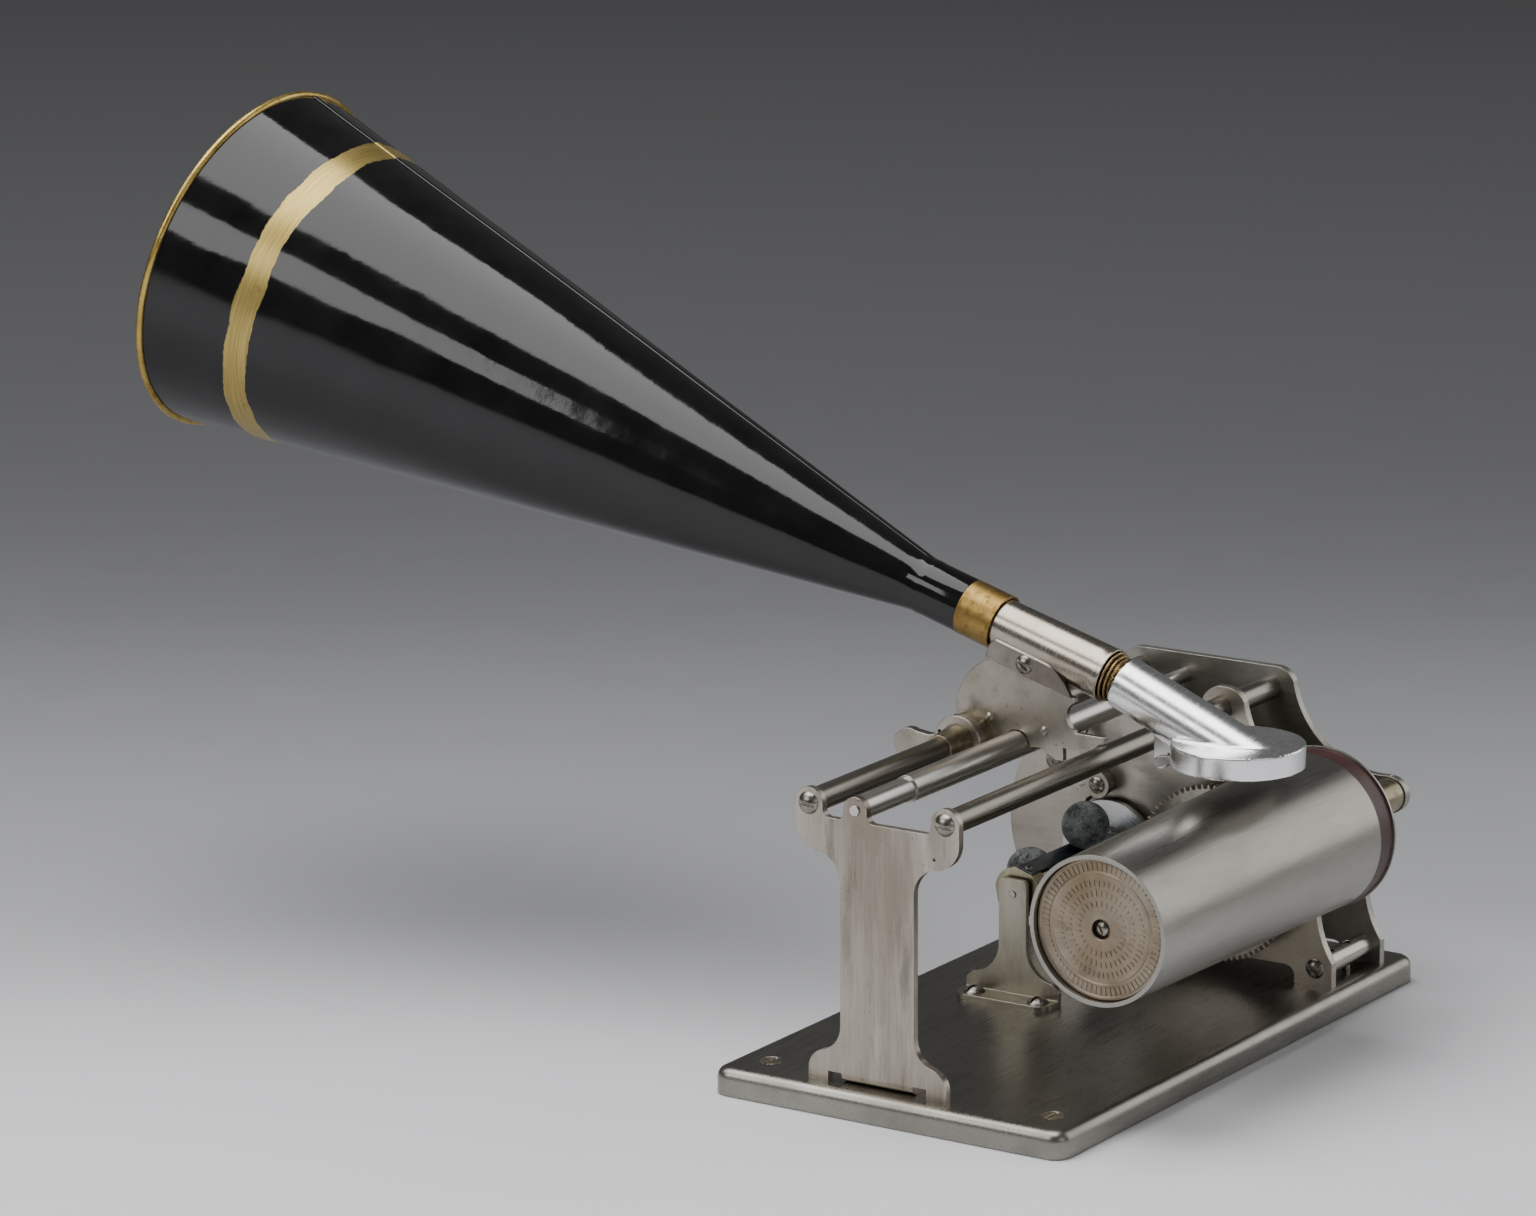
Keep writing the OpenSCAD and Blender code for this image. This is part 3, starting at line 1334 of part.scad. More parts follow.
// Forked lever on the lug's pin; its tip sits on the record's surface
module stylus_lever() {
    cheek_t = 0.8;
    arm_z = record_z + 0.3;
    fork_h = 0.8;
    arm_x = lug_w / 2 + seat + cheek_t;
    fork_y = mandrel_y + disc_d / 2 - 3;
    color("#8f8b84") {
        for (x = [-arm_x, arm_x - cheek_t]) across(tone_x + x, cheek_t) {
            translate(stylus_pin_at) circle(1.5);
            polygon([stylus_pin_at + [0, 1.5], stylus_pin_at + [0, -1.5], [fork_y, arm_z],
                [fork_y, arm_z + fork_h]]);
        }
        bar(tone_x - arm_x, tone_x + arm_x, stylus_pin_at, stylus_pin_d);
        translate([tone_x - arm_x, fork_y - 2, arm_z]) cube([2 * arm_x, 2.2, fork_h]);
        translate([tone_x - 1.5, mandrel_y - 2, arm_z]) cube([3, fork_y + 2 - mandrel_y, fork_h]);
        translate([tone_x, mandrel_y, arm_z - 0.25]) cylinder(d1 = 0.5, d2 = 1.2, h = 0.3);
        translate([tone_x, mandrel_y, arm_z]) cylinder(d = 1, h = 2.4);
    }
}

// Straight conical horn with a rolled rim
module horn() {
    throat_r = tone_d / 2 + fit;
    throat_out = throat_r + horn_wall;
    bell_r = bell_d / 2 - bead_d / 2;
    rim_s = horn_s1 - bead_d / 2;
    color("#0b0b0c") on_tone() rotate_extrude() union() {
        polygon([[throat_r, horn_s0], [throat_out, horn_s0], [throat_out, horn_s0 + throat_l],
            [bell_r, rim_s], [bell_r - horn_wall, rim_s], [throat_r, horn_s0 + throat_l + 2]]);
        translate([bell_r, rim_s]) circle(d = bead_d);
    }
}

module horn_ferrule() {
    color("#96703a") on_tone() translate([0, 0, ferrule_s0]) difference() {
        cylinder(d = tone_d + 2 * fit + 2 * ferrule_wall, h = ferrule_l);
        translate([0, 0, -1]) cylinder(d = tone_d + 2 * fit, h = ferrule_l + 2);
    }
}

bedplate();
corner_screws();
end_plate();
motor_plate_front();
motor_plate_rear();
rear_rod();
front_rod();
pillars();
rod_screws();
pillar_screws();
foot_screws();
bed_bolts();
governor_bracket();
bracket_screws();
brake_stud();
train_studs();
mandrel_drum();
mandrel_cap();
cap_screw();
mandrel_shaft();
fibre_band();
mandrel_flange();
mandrel_gear();
great_wheel();
great_arbor();
governor_wheel();
step_up_wheel();
reduction_wheel();
spring_wheel();
mainspring();
winding_arbor();
click();
winding_key();
governor_spindle();
governor_collar();
governor_disc();
governor_springs();
governor_balls();
governor_screws();
brake_lever();
feed_screw();
feed_gear();
feed_idler_lower();
feed_idler_upper();
carriage_bushing();
carriage_plate();
carriage_hub();
lift_lever();
carriage_rivets();
half_nut();
half_nut_spring();
tube_clamp();
clamp_screw();
tone_tube();
coupling_rings();
reproducer_body();
diaphragm();
stylus_lever();
horn();
horn_ferrule();
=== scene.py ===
# Looks of a spring-driven cylinder phonograph, dressed over its mechanical frame.
# Blender works in metres, so a value that stands before MM is in millimetres.
import math

import bmesh
import bpy
from mathutils import Matrix, Vector, noise


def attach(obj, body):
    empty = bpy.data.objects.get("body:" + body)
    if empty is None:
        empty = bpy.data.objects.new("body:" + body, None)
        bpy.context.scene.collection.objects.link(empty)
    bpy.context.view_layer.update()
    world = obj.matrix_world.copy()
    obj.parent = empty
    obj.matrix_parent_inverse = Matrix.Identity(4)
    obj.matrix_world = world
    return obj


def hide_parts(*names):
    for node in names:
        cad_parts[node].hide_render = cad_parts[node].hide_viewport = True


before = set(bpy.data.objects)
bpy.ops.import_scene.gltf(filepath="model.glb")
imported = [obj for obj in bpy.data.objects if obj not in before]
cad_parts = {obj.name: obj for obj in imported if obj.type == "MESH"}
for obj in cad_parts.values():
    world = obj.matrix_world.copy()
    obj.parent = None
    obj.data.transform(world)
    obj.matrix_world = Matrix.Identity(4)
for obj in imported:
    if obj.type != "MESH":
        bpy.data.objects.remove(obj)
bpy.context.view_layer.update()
MM = 0.001

# Places shared with the mechanical frame
TONE_AT = Vector((-4.0, 4.0, 110.0)) * MM
TONE_TILT = math.radians(16.6)
TONE_DIR = Vector((0, math.cos(TONE_TILT), math.sin(TONE_TILT)))
MANDREL = Vector((0, -53.2, 57.2)) * MM
GOVERNOR = Vector((0, 19.0, 37.5)) * MM
DISC_MID = Vector((-4.0, -53.2, 88.65)) * MM
NECK_S0 = -22.4 * MM
HORN_S0 = 28.7 * MM
HORN_S1 = 286.2 * MM
CAP_X = -75.9 * MM
BAND_S0 = HORN_S1 - 35.8 * MM
BAND_S1 = HORN_S1 - 27.9 * MM

# Unevenness of the horn's hand-worked sheet and its bead
SHEET_SWELL = 0.32 * MM
SHEET_RIPPLE = 0.09 * MM
SHEET_SHRINK = 0.3 * MM
BEAD_RIPPLE = 0.05 * MM

# Stage: the floor's colour is painted darker away from the camera as shade, over this range of metres
# along AWAY
AWAY = (0.833, 0.553, 0.0)
FLOOR_NEAR = -0.5
FLOOR_FAR = 3.5
FLOOR_RADIUS = 9.0
FLOOR_DROP = 0.2 * MM
CAMERA_AT = Vector((-1.45772, -0.86701, 0.52783))
CAMERA_AZIMUTH = math.radians(33.575)
CAMERA_DIP = math.radians(13.486)
CAMERA_ROLL = math.radians(-0.319)
CAMERA_LENS = 150.07
WORLD_COLOR = (0.17, 0.17, 0.173, 1)
WORLD_STRENGTH = 0.6


# Node trees -----------------------------------------------------------------

def add(tree, kind, values=None, **props):
    """A node with its properties set, and each named input set or linked."""
    made = tree.nodes.new(kind)
    for key, value in props.items():
        setattr(made, key, value)
    for key, value in (values or {}).items():
        socket = made.inputs[key]
        if isinstance(value, bpy.types.NodeSocket):
            tree.links.new(value, socket)
        elif isinstance(value, tuple) and len(value) == 3 and socket.type == "RGBA":
            socket.default_value = (*value, 1)
        else:
            socket.default_value = value
    return made


def math_node(tree, op, a, b=0.0, clamp=False):
    made = add(tree, "ShaderNodeMath", {0: a, 1: b}, operation=op, use_clamp=clamp)
    return made.outputs[0]


def vector_node(tree, op, a, b, out=0):
    made = add(tree, "ShaderNodeVectorMath", {0: a, 1: b}, operation=op)
    return made.outputs[out]


def blend(tree, data_type, suffix, factor, a, b):
    """A Mix node of one data type, whose sockets' identifiers end with suffix."""
    made = add(tree, "ShaderNodeMix", data_type=data_type)
    for key, value in (("Factor_Float", factor), ("A_" + suffix, a), ("B_" + suffix, b)):
        socket = next(s for s in made.inputs if s.identifier == key)
        if isinstance(value, bpy.types.NodeSocket):
            tree.links.new(value, socket)
        elif isinstance(value, tuple):
            socket.default_value = (*value, 1)
        else:
            socket.default_value = value
    return next(s for s in made.outputs if s.identifier == "Result_" + suffix)


def blend_color(tree, factor, a, b):
    return blend(tree, "RGBA", "Color", factor, a, b)


def blend_value(tree, factor, a, b):
    return blend(tree, "FLOAT", "Float", factor, a, b)


def spread(tree, value, low, high, to_low=0.0, to_high=1.0):
    """Value mapped from low..high to to_low..to_high, clamped."""
    made = add(tree, "ShaderNodeMapRange", {
        "Value": value, "From Min": low, "From Max": high, "To Min": to_low, "To Max": to_high})
    return made.outputs[0]


def cloud(tree, vector, scale, detail=3.0, rough=0.55):
    """Smooth noise around 0.5."""
    made = add(tree, "ShaderNodeTexNoise", {
        "Vector": vector, "Scale": scale, "Detail": detail, "Roughness": rough})
    return made.outputs[0]


def stretched(tree, coords, scale):
    return add(tree, "ShaderNodeMapping", {"Vector": coords, "Scale": scale}).outputs[0]


def set_bump(tree, shader, height, distance, normal=None):
    values = {"Strength": 1.0, "Distance": distance, "Height": height}
    if normal is not None:
        values["Normal"] = normal
    bump = add(tree, "ShaderNodeBump", values).outputs[0]
    tree.links.new(bump, shader.inputs["Normal"])


def start(name):
    """A new material with its tree, its Principled shader and object coordinates."""
    mat = bpy.data.materials.new(name)
    mat.use_nodes = True
    tree = mat.node_tree
    tree.nodes.clear()
    out = tree.nodes.new("ShaderNodeOutputMaterial")
    shader = tree.nodes.new("ShaderNodeBsdfPrincipled")
    tree.links.new(shader.outputs[0], out.inputs[0])
    coords = tree.nodes.new("ShaderNodeTexCoord").outputs["Object"]
    return mat, tree, shader, coords


def polar_coords(tree, coords, centre, axis):
    """Angle, radius and place along an axis through centre: along X, or along the tone arm."""
    moved = vector_node(tree, "SUBTRACT", coords, tuple(centre))
    if axis == "x":
        side = Vector((0, 1, 0))
        up = Vector((0, 0, 1))
        along = Vector((1, 0, 0))
    else:
        along = TONE_DIR
        side = Vector((1, 0, 0))
        up = along.cross(side)
    u = vector_node(tree, "DOT_PRODUCT", moved, tuple(side), 1)
    v = vector_node(tree, "DOT_PRODUCT", moved, tuple(up), 1)
    s = vector_node(tree, "DOT_PRODUCT", moved, tuple(along), 1)
    angle = math_node(tree, "ARCTAN2", v, u)
    radius = math_node(tree, "SQRT", math_node(
        tree, "ADD", math_node(tree, "MULTIPLY", u, u), math_node(tree, "MULTIPLY", v, v)))
    return angle, radius, s


def combine(tree, x, y, z):
    return add(tree, "ShaderNodeCombineXYZ", {0: x, 1: y, 2: z}).outputs[0]


def metal(name, color, worn, rough, grain=(600, 600, 600), depth=0.004 * MM, tone_scale=45.0, dirt=0.35,
          turned=None, along="x", edge=0.25 * MM, spots=0.0, edge_gain=1.0, flow=(1, 1, 1), contrast=1.0,
          lines_share=0.3):
    """Worn metal: brushed or turned round an axis, toned in patches, stained, and painted brighter at
    its edges, partly for wear and partly as a painted highlight.

    grain and flow stretch the brush lines and the patches, tone_scale is the patches' frequency per
    metre, and edge and depth are the bright edge's width and the lines' depth in metres.
    """
    mat, tree, shader, coords = start(name)
    if turned:
        angle, radius, s = polar_coords(tree, coords, turned, along)
        vector = combine(tree, math_node(tree, "MULTIPLY", radius, 5200.0),
                         math_node(tree, "MULTIPLY", angle, 1.2),
                         math_node(tree, "MULTIPLY", s, 2600.0))
    else:
        vector = stretched(tree, coords, grain)
    lines = cloud(tree, vector, 1.0, 4.0, 0.7)
    flowing = stretched(tree, coords, flow)
    broad = cloud(tree, flowing, tone_scale, 4.0, 0.6)
    stain = cloud(tree, flowing, tone_scale * 2.7, 5.0, 0.7)
    tone = math_node(tree, "ADD", math_node(tree, "MULTIPLY", broad, 1.0 - lines_share),
                     math_node(tree, "MULTIPLY", lines, lines_share))
    tone = spread(tree, tone, 0.5 - 0.14 / contrast, 0.5 + 0.14 / contrast)
    stain = spread(tree, stain, 0.52, 0.72, 0.0, dirt)
    base = blend_color(tree, tone, color, worn)
    dark = tuple(c * 0.42 for c in color)
    base = blend_color(tree, stain, base, dark)
    if spots:
        dots = cloud(tree, coords, 900.0, 2.0, 0.5)
        dots = spread(tree, dots, 0.70, 0.76, 0.0, spots)
        base = blend_color(tree, dots, base, tuple(c * 0.3 for c in color))
    bevel = add(tree, "ShaderNodeBevel", {"Radius": edge}, samples=4).outputs[0]
    flat = tree.nodes.new("ShaderNodeNewGeometry").outputs["Normal"]
    facing = vector_node(tree, "DOT_PRODUCT", bevel, flat, 1)
    # Painted highlight and wear: the edges' colour is painted brighter than the worn colour.
    rim = spread(tree, facing, 0.995, 0.90, 0.0, 0.6 * edge_gain)
    base = blend_color(tree, rim, base, tuple(min(1.0, c * 1.25 + 0.05) for c in worn))
    tree.links.new(base, shader.inputs["Base Color"])
    shader.inputs["Metallic"].default_value = 1.0
    dull = math_node(tree, "ADD", spread(tree, lines, 0.25, 0.75, rough * 0.75, rough * 1.25),
                     math_node(tree, "MULTIPLY", stain, 0.35))
    dull = math_node(tree, "SUBTRACT", dull, math_node(tree, "MULTIPLY", rim, 0.08), clamp=True)
    tree.links.new(dull, shader.inputs["Roughness"])
    set_bump(tree, shader, lines, depth, bevel)
    return mat


def lead(name):
    """Dark oxidised lead with pits and pale bloom."""
    mat, tree, shader, coords = start(name)
    patches = spread(tree, cloud(tree, coords, 260.0, 4.0, 0.65), 0.38, 0.62)
    bloom = spread(tree, cloud(tree, coords, 900.0, 5.0, 0.75), 0.55, 0.75)
    pits = add(tree, "ShaderNodeTexVoronoi", {"Vector": coords, "Scale": 800.0}).outputs[0]
    pits = spread(tree, pits, 0.16, 0.34, 1.0, 0.0)
    where = spread(tree, cloud(tree, coords, 420.0, 2.0, 0.5), 0.46, 0.55)
    pits = math_node(tree, "MULTIPLY", pits, where)
    base = blend_color(tree, patches, (0.035, 0.04, 0.041), (0.21, 0.225, 0.22))
    base = blend_color(tree, math_node(tree, "MULTIPLY", bloom, 0.8), base, (0.40, 0.415, 0.40))
    base = blend_color(tree, pits, base, (0.008, 0.008, 0.009))
    tree.links.new(base, shader.inputs["Base Color"])
    shader.inputs["Metallic"].default_value = 0.25
    tree.links.new(spread(tree, patches, 0.0, 1.0, 0.55, 0.8), shader.inputs["Roughness"])
    height = math_node(tree, "SUBTRACT", cloud(tree, coords, 1300.0, 6.0, 0.75),
                       math_node(tree, "MULTIPLY", pits, 0.9))
    set_bump(tree, shader, height, 0.3 * MM)
    return mat


def japan(name, gold_from, gold_to):
    """Gloss black lacquer with a hand-painted gold band between two places along the tone arm."""
    mat, tree, shader, coords = start(name)
    angle, _, s = polar_coords(tree, coords, TONE_AT, "tone")
    wander = cloud(tree, coords, 38.0, 2.0, 0.5)
    fine = cloud(tree, coords, 420.0, 3.0, 0.6)
    drift = 1.1 * MM
    fray = 0.22 * MM
    soft = 0.1 * MM
    shift = math_node(tree, "ADD", spread(tree, wander, 0.3, 0.7, -drift, drift),
                      spread(tree, fine, 0.3, 0.7, -fray, fray))
    place = math_node(tree, "ADD", s, shift)
    low = spread(tree, place, gold_from - soft, gold_from + soft)
    high = spread(tree, place, gold_to - soft, gold_to + soft, 1.0, 0.0)
    band = math_node(tree, "MULTIPLY", low, high)
    streak_at = combine(tree, math_node(tree, "MULTIPLY", angle, 2.2),
                        math_node(tree, "MULTIPLY", s, 2600.0), 0.0)
    streaks = cloud(tree, streak_at, 1.0, 4.0, 0.65)
    gold = blend_color(tree, spread(tree, streaks, 0.32, 0.68),
                       (0.30, 0.215, 0.055), (0.58, 0.44, 0.15))
    worn = spread(tree, cloud(tree, coords, 150.0, 5.0, 0.7), 0.60, 0.70)
    gold = blend_color(tree, math_node(tree, "MULTIPLY", worn, 0.55), gold, (0.17, 0.10, 0.035))
    haze = spread(tree, cloud(tree, coords, 60.0, 5.0, 0.65), 0.35, 0.75)
    black = blend_color(tree, haze, (0.0035, 0.0035, 0.0038), (0.009, 0.009, 0.0095))
    base = blend_color(tree, band, black, gold)
    tree.links.new(base, shader.inputs["Base Color"])
    tree.links.new(math_node(tree, "MULTIPLY", band, 0.85), shader.inputs["Metallic"])
    dust = spread(tree, cloud(tree, coords, 1900.0, 3.0, 0.6), 0.60, 0.72, 0.0, 0.07)
    gloss = math_node(tree, "ADD", spread(tree, haze, 0.0, 1.0, 0.06, 0.12), dust)
    tree.links.new(blend_value(tree, band, gloss, 0.38), shader.inputs["Roughness"])
    shader.inputs["Specular IOR Level"].default_value = 0.38
    shader.inputs["Coat Weight"].default_value = 0.1
    shader.inputs["Coat Roughness"].default_value = 0.06
    swell = math_node(tree, "MULTIPLY", cloud(tree, coords, 62.0, 2.0, 0.5), 3.0)
    ripple = math_node(tree, "MULTIPLY", cloud(tree, coords, 210.0, 4.0, 0.6), 0.75)
    height = math_node(tree, "ADD", math_node(tree, "ADD", swell, ripple),
                       math_node(tree, "MULTIPLY", math_node(tree, "MULTIPLY", band, streaks), 0.5))
    set_bump(tree, shader, height, 0.04 * MM)
    return mat


def fibre(name):
    """Red vulcanised fibre with fine turning lines."""
    mat, tree, shader, coords = start(name)
    lines = cloud(tree, stretched(tree, coords, (3000, 300, 300)), 1.0, 4.0, 0.6)
    broad = cloud(tree, coords, 120.0, 4.0, 0.6)
    base = blend_color(tree, spread(tree, broad, 0.35, 0.65),
                       (0.030, 0.009, 0.008), (0.056, 0.019, 0.016))
    base = blend_color(tree, spread(tree, lines, 0.45, 0.75, 0.0, 0.35), base, (0.085, 0.037, 0.031))
    tree.links.new(base, shader.inputs["Base Color"])
    tree.links.new(spread(tree, lines, 0.3, 0.7, 0.36, 0.52), shader.inputs["Roughness"])
    set_bump(tree, shader, lines, 0.03 * MM)
    return mat


def mica(name):
    """Clear yellowish mica in thin sheets."""
    mat, tree, shader, coords = start(name)
    sheets = cloud(tree, stretched(tree, coords, (120, 120, 2000)), 1.0, 4.0, 0.6)
    base = blend_color(tree, spread(tree, sheets, 0.3, 0.7), (0.55, 0.47, 0.30), (0.82, 0.78, 0.62))
    tree.links.new(base, shader.inputs["Base Color"])
    tree.links.new(spread(tree, sheets, 0.3, 0.7, 0.08, 0.22), shader.inputs["Roughness"])
    shader.inputs["Transmission Weight"].default_value = 0.55
    shader.inputs["IOR"].default_value = 1.58
    return mat


# Meshes ----------------------------------------------------------------------

def matrix_of(origin, z_axis, x_hint=(1, 0, 0)):
    """A frame at origin whose Z lies along z_axis and whose X is as near x_hint as can be."""
    z = Vector(z_axis).normalized()
    x = (Vector(x_hint) - z * Vector(x_hint).dot(z)).normalized()
    y = z.cross(x)
    made = Matrix((x, y, z)).transposed().to_4x4()
    made.translation = Vector(origin)
    return made


def mesh_object(bm, name):
    """An object of the bmesh, which is freed."""
    mesh = bpy.data.meshes.new(name)
    bm.to_mesh(mesh)
    bm.free()
    obj = bpy.data.objects.new(name, mesh)
    bpy.context.scene.collection.objects.link(obj)
    return obj


def shade_smooth(obj, sharp):
    """Smooth faces with sharp edges over so many degrees."""
    obj.data.polygons.foreach_set("use_smooth", [True] * len(obj.data.polygons))
    obj.data.set_sharp_from_angle(angle=math.radians(sharp))


def finish_mesh(bm, name, sharp=30.0):
    bmesh.ops.recalc_face_normals(bm, faces=bm.faces)
    obj = mesh_object(bm, name)
    shade_smooth(obj, sharp)
    return obj


def lathe(name, profile, place, segments, sharp, warp=None):
    """Turns a closed outline of (radius, height) points round place's Z axis.

    warp(angle, radius, height) returns a new radius.
    """
    bm = bmesh.new()
    rings = []
    for radius, height in profile:
        ring = []
        for i in range(segments):
            angle = 2 * math.pi * i / segments
            r = warp(angle, radius, height) if warp else radius
            ring.append(bm.verts.new(place @ Vector((r * math.cos(angle), r * math.sin(angle), height))))
        rings.append(ring)
    for a, b in zip(rings, rings[1:] + rings[:1]):
        for i in range(segments):
            j = (i + 1) % segments
            bm.faces.new((a[i], a[j], b[j], b[i]))
    return finish_mesh(bm, name, sharp)


def in_mm(points):
    """Points given in millimetres, in metres."""
    return [(x * MM, y * MM) for x, y in points]


def arc(cx, cy, radius, start_deg, end_deg, steps):
    """Points of an arc in a flat outline."""
    turns = [math.radians(start_deg + (end_deg - start_deg) * i / steps) for i in range(steps + 1)]
    return [(cx + radius * math.cos(turn), cy + radius * math.sin(turn)) for turn in turns]


def add_box(bm, place):
    """A unit cube, moved and scaled by place."""
    made = bmesh.ops.create_cube(bm, size=1.0)
    bmesh.ops.transform(bm, matrix=place, verts=made["verts"])


def wear(obj, material, body, slot, *nodes):
    """Gives the piece its look and its body, and hides the solids that it stands for; slot is not used.
    """
    obj.data.materials.clear()
    obj.data.materials.append(material)
    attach(obj, body)
    if nodes:
        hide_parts(*nodes)


# Materials: colour, worn colour and roughness, then what departs from a plain brushed metal ----

# The bed's wide bright edge band is painted, partly as wear and partly as a painted highlight on its
# rounded top edge.
bed_steel = metal("bed_steel", (0.225, 0.212, 0.185), (0.33, 0.315, 0.28), 0.29,
                  grain=(60, 2200, 900), tone_scale=20.0, dirt=0.25, edge=1.2 * MM, edge_gain=1.3,
                  flow=(0.5, 1, 1), lines_share=0.18, depth=0.003 * MM)
end_nickel = metal("end_nickel", (0.27, 0.235, 0.19), (0.50, 0.455, 0.395), 0.36,
                   grain=(2600, 2600, 70), tone_scale=70.0, dirt=0.45, spots=0.7,
                   flow=(1, 1, 0.16), contrast=1.2)
motor_nickel = metal("motor_nickel", (0.33, 0.295, 0.25), (0.47, 0.43, 0.375), 0.38,
                     grain=(2600, 60, 2400), tone_scale=40.0, dirt=0.35, spots=0.6, flow=(1, 0.4, 1))
# The rear motor plate: the same nickel as the front plate, painted darker as shade.
motor_nickel_shaded = metal("motor_nickel_shaded", (0.28, 0.27, 0.235), (0.42, 0.405, 0.365), 0.40,
                   grain=(2600, 60, 2400), tone_scale=35.0, dirt=0.45, spots=0.5)
carriage_nickel = metal("carriage_nickel", (0.29, 0.26, 0.215), (0.43, 0.395, 0.345), 0.35,
                        grain=(900, 500, 500), tone_scale=60.0, dirt=0.4, spots=0.8, depth=0.006 * MM,
                        edge=0.4 * MM, edge_gain=1.5)
clamp_nickel = metal("clamp_nickel", (0.19, 0.165, 0.14), (0.29, 0.26, 0.225), 0.36,
                     grain=(2000, 160, 1200), tone_scale=80.0, dirt=0.3, edge=0.6 * MM, edge_gain=1.6)
drum_nickel = metal("drum_nickel", (0.27, 0.255, 0.225), (0.36, 0.345, 0.31), 0.31,
                    grain=(45, 2400, 2400), tone_scale=34.0, dirt=0.12, depth=0.0007 * MM, spots=0.3,
                    flow=(0.3, 1, 1), contrast=0.7, edge=0.15 * MM, edge_gain=0.4)
ROUND_BAR = {"grain": (30, 1900, 1900), "tone_scale": 120.0, "flow": (0.08, 1, 1), "depth": 0.0000005,
             "contrast": 0.7}
rod_grey = metal("rod_grey", (0.23, 0.215, 0.18), (0.31, 0.295, 0.255), 0.30, dirt=0.12, **ROUND_BAR)
rod_dark = metal("rod_dark", (0.22, 0.205, 0.175), (0.32, 0.30, 0.265), 0.33, dirt=0.15, **ROUND_BAR)
screw_feed = metal("screw_feed", (0.50, 0.485, 0.45), (0.64, 0.62, 0.58), 0.32, dirt=0.12, **ROUND_BAR)
pillar_steel = metal("pillar_steel", (0.36, 0.345, 0.31), (0.50, 0.475, 0.43), 0.25,
                     grain=(50, 1800, 1800), tone_scale=80.0, dirt=0.3, flow=(0.2, 1, 1))
screw_nickel = metal("screw_nickel", (0.19, 0.175, 0.15), (0.34, 0.32, 0.285), 0.27,
                     grain=(1500, 1500, 1500), tone_scale=260.0, dirt=0.8, edge=0.16 * MM, edge_gain=1.5)
eyelet = metal("eyelet", (0.40, 0.34, 0.23), (0.60, 0.54, 0.41), 0.28, tone_scale=300.0, dirt=0.5)
olive_brass = metal("olive_brass", (0.22, 0.19, 0.115), (0.40, 0.36, 0.26), 0.32,
                    tone_scale=160.0, dirt=0.5)
bracket_nickel = metal("bracket_nickel", (0.27, 0.25, 0.20), (0.42, 0.39, 0.325), 0.36,
                       grain=(1800, 1800, 90), tone_scale=80.0, dirt=0.35, spots=0.5, flow=(1, 1, 0.3))
gear_brass = metal("gear_brass", (0.42, 0.32, 0.15), (0.60, 0.48, 0.26), 0.32, grain=(1200, 1200, 1200),
                   tone_scale=90.0, dirt=0.5)
gear_grey = metal("gear_grey", (0.27, 0.255, 0.215), (0.44, 0.415, 0.36), 0.32, grain=(1600, 900, 900),
                  tone_scale=60.0, dirt=0.5, depth=0.006 * MM)
arbor_steel = metal("arbor_steel", (0.33, 0.32, 0.30), (0.50, 0.48, 0.45), 0.25, grain=(2500, 200, 200),
                    tone_scale=120.0, dirt=0.4)
blue_steel = metal("blue_steel", (0.035, 0.045, 0.06), (0.10, 0.12, 0.15), 0.3, grain=(80, 1500, 1500),
                   tone_scale=120.0, dirt=0.3)
turned_disc = metal("turned_disc", (0.40, 0.40, 0.395), (0.62, 0.62, 0.61), 0.28, turned=GOVERNOR,
                    depth=0.012 * MM, tone_scale=60.0, dirt=0.2)
fibre_red = fibre("fibre_red")
lead_grey = lead("lead_grey")
tube_nickel = metal("tube_nickel", (0.33, 0.29, 0.235), (0.43, 0.385, 0.32), 0.25, turned=TONE_AT,
                    along="tone", tone_scale=90.0, dirt=0.12, depth=0.0006 * MM, spots=0.3,
                    lines_share=0.12, contrast=0.6)
ring_bronze = metal("ring_bronze", (0.24, 0.165, 0.08), (0.46, 0.34, 0.18), 0.27, turned=TONE_AT,
                    along="tone", tone_scale=300.0, dirt=0.8)
aluminium = metal("aluminium", (0.86, 0.865, 0.87), (0.95, 0.95, 0.95), 0.24, grain=(260, 900, 260),
                  tone_scale=90.0, dirt=0.06, depth=0.0006 * MM, spots=0.25, lines_share=0.1,
                  edge=0.5 * MM)
aged_brass = metal("aged_brass", (0.215, 0.125, 0.03), (0.35, 0.235, 0.08), 0.4, turned=TONE_AT,
                   along="tone", tone_scale=170.0, dirt=0.6, depth=0.006 * MM, spots=0.6)
nut_brass = metal("nut_brass", (0.34, 0.25, 0.11), (0.52, 0.42, 0.23), 0.33, tone_scale=220.0, dirt=0.7)
cap_copper = metal("cap_copper", (0.25, 0.19, 0.125), (0.36, 0.305, 0.24), 0.46, turned=MANDREL,
                   tone_scale=55.0, dirt=0.35, depth=0.006 * MM, spots=0.8, contrast=1.2,
                   lines_share=0.2, edge=0.12 * MM)
rim_gold = metal("rim_gold", (0.40, 0.27, 0.07), (0.64, 0.47, 0.15), 0.34, grain=(500, 500, 500),
                 tone_scale=120.0, dirt=0.7, depth=0.03 * MM)
black_japan = japan("black_japan", BAND_S0, BAND_S1)
clear_mica = mica("clear_mica")

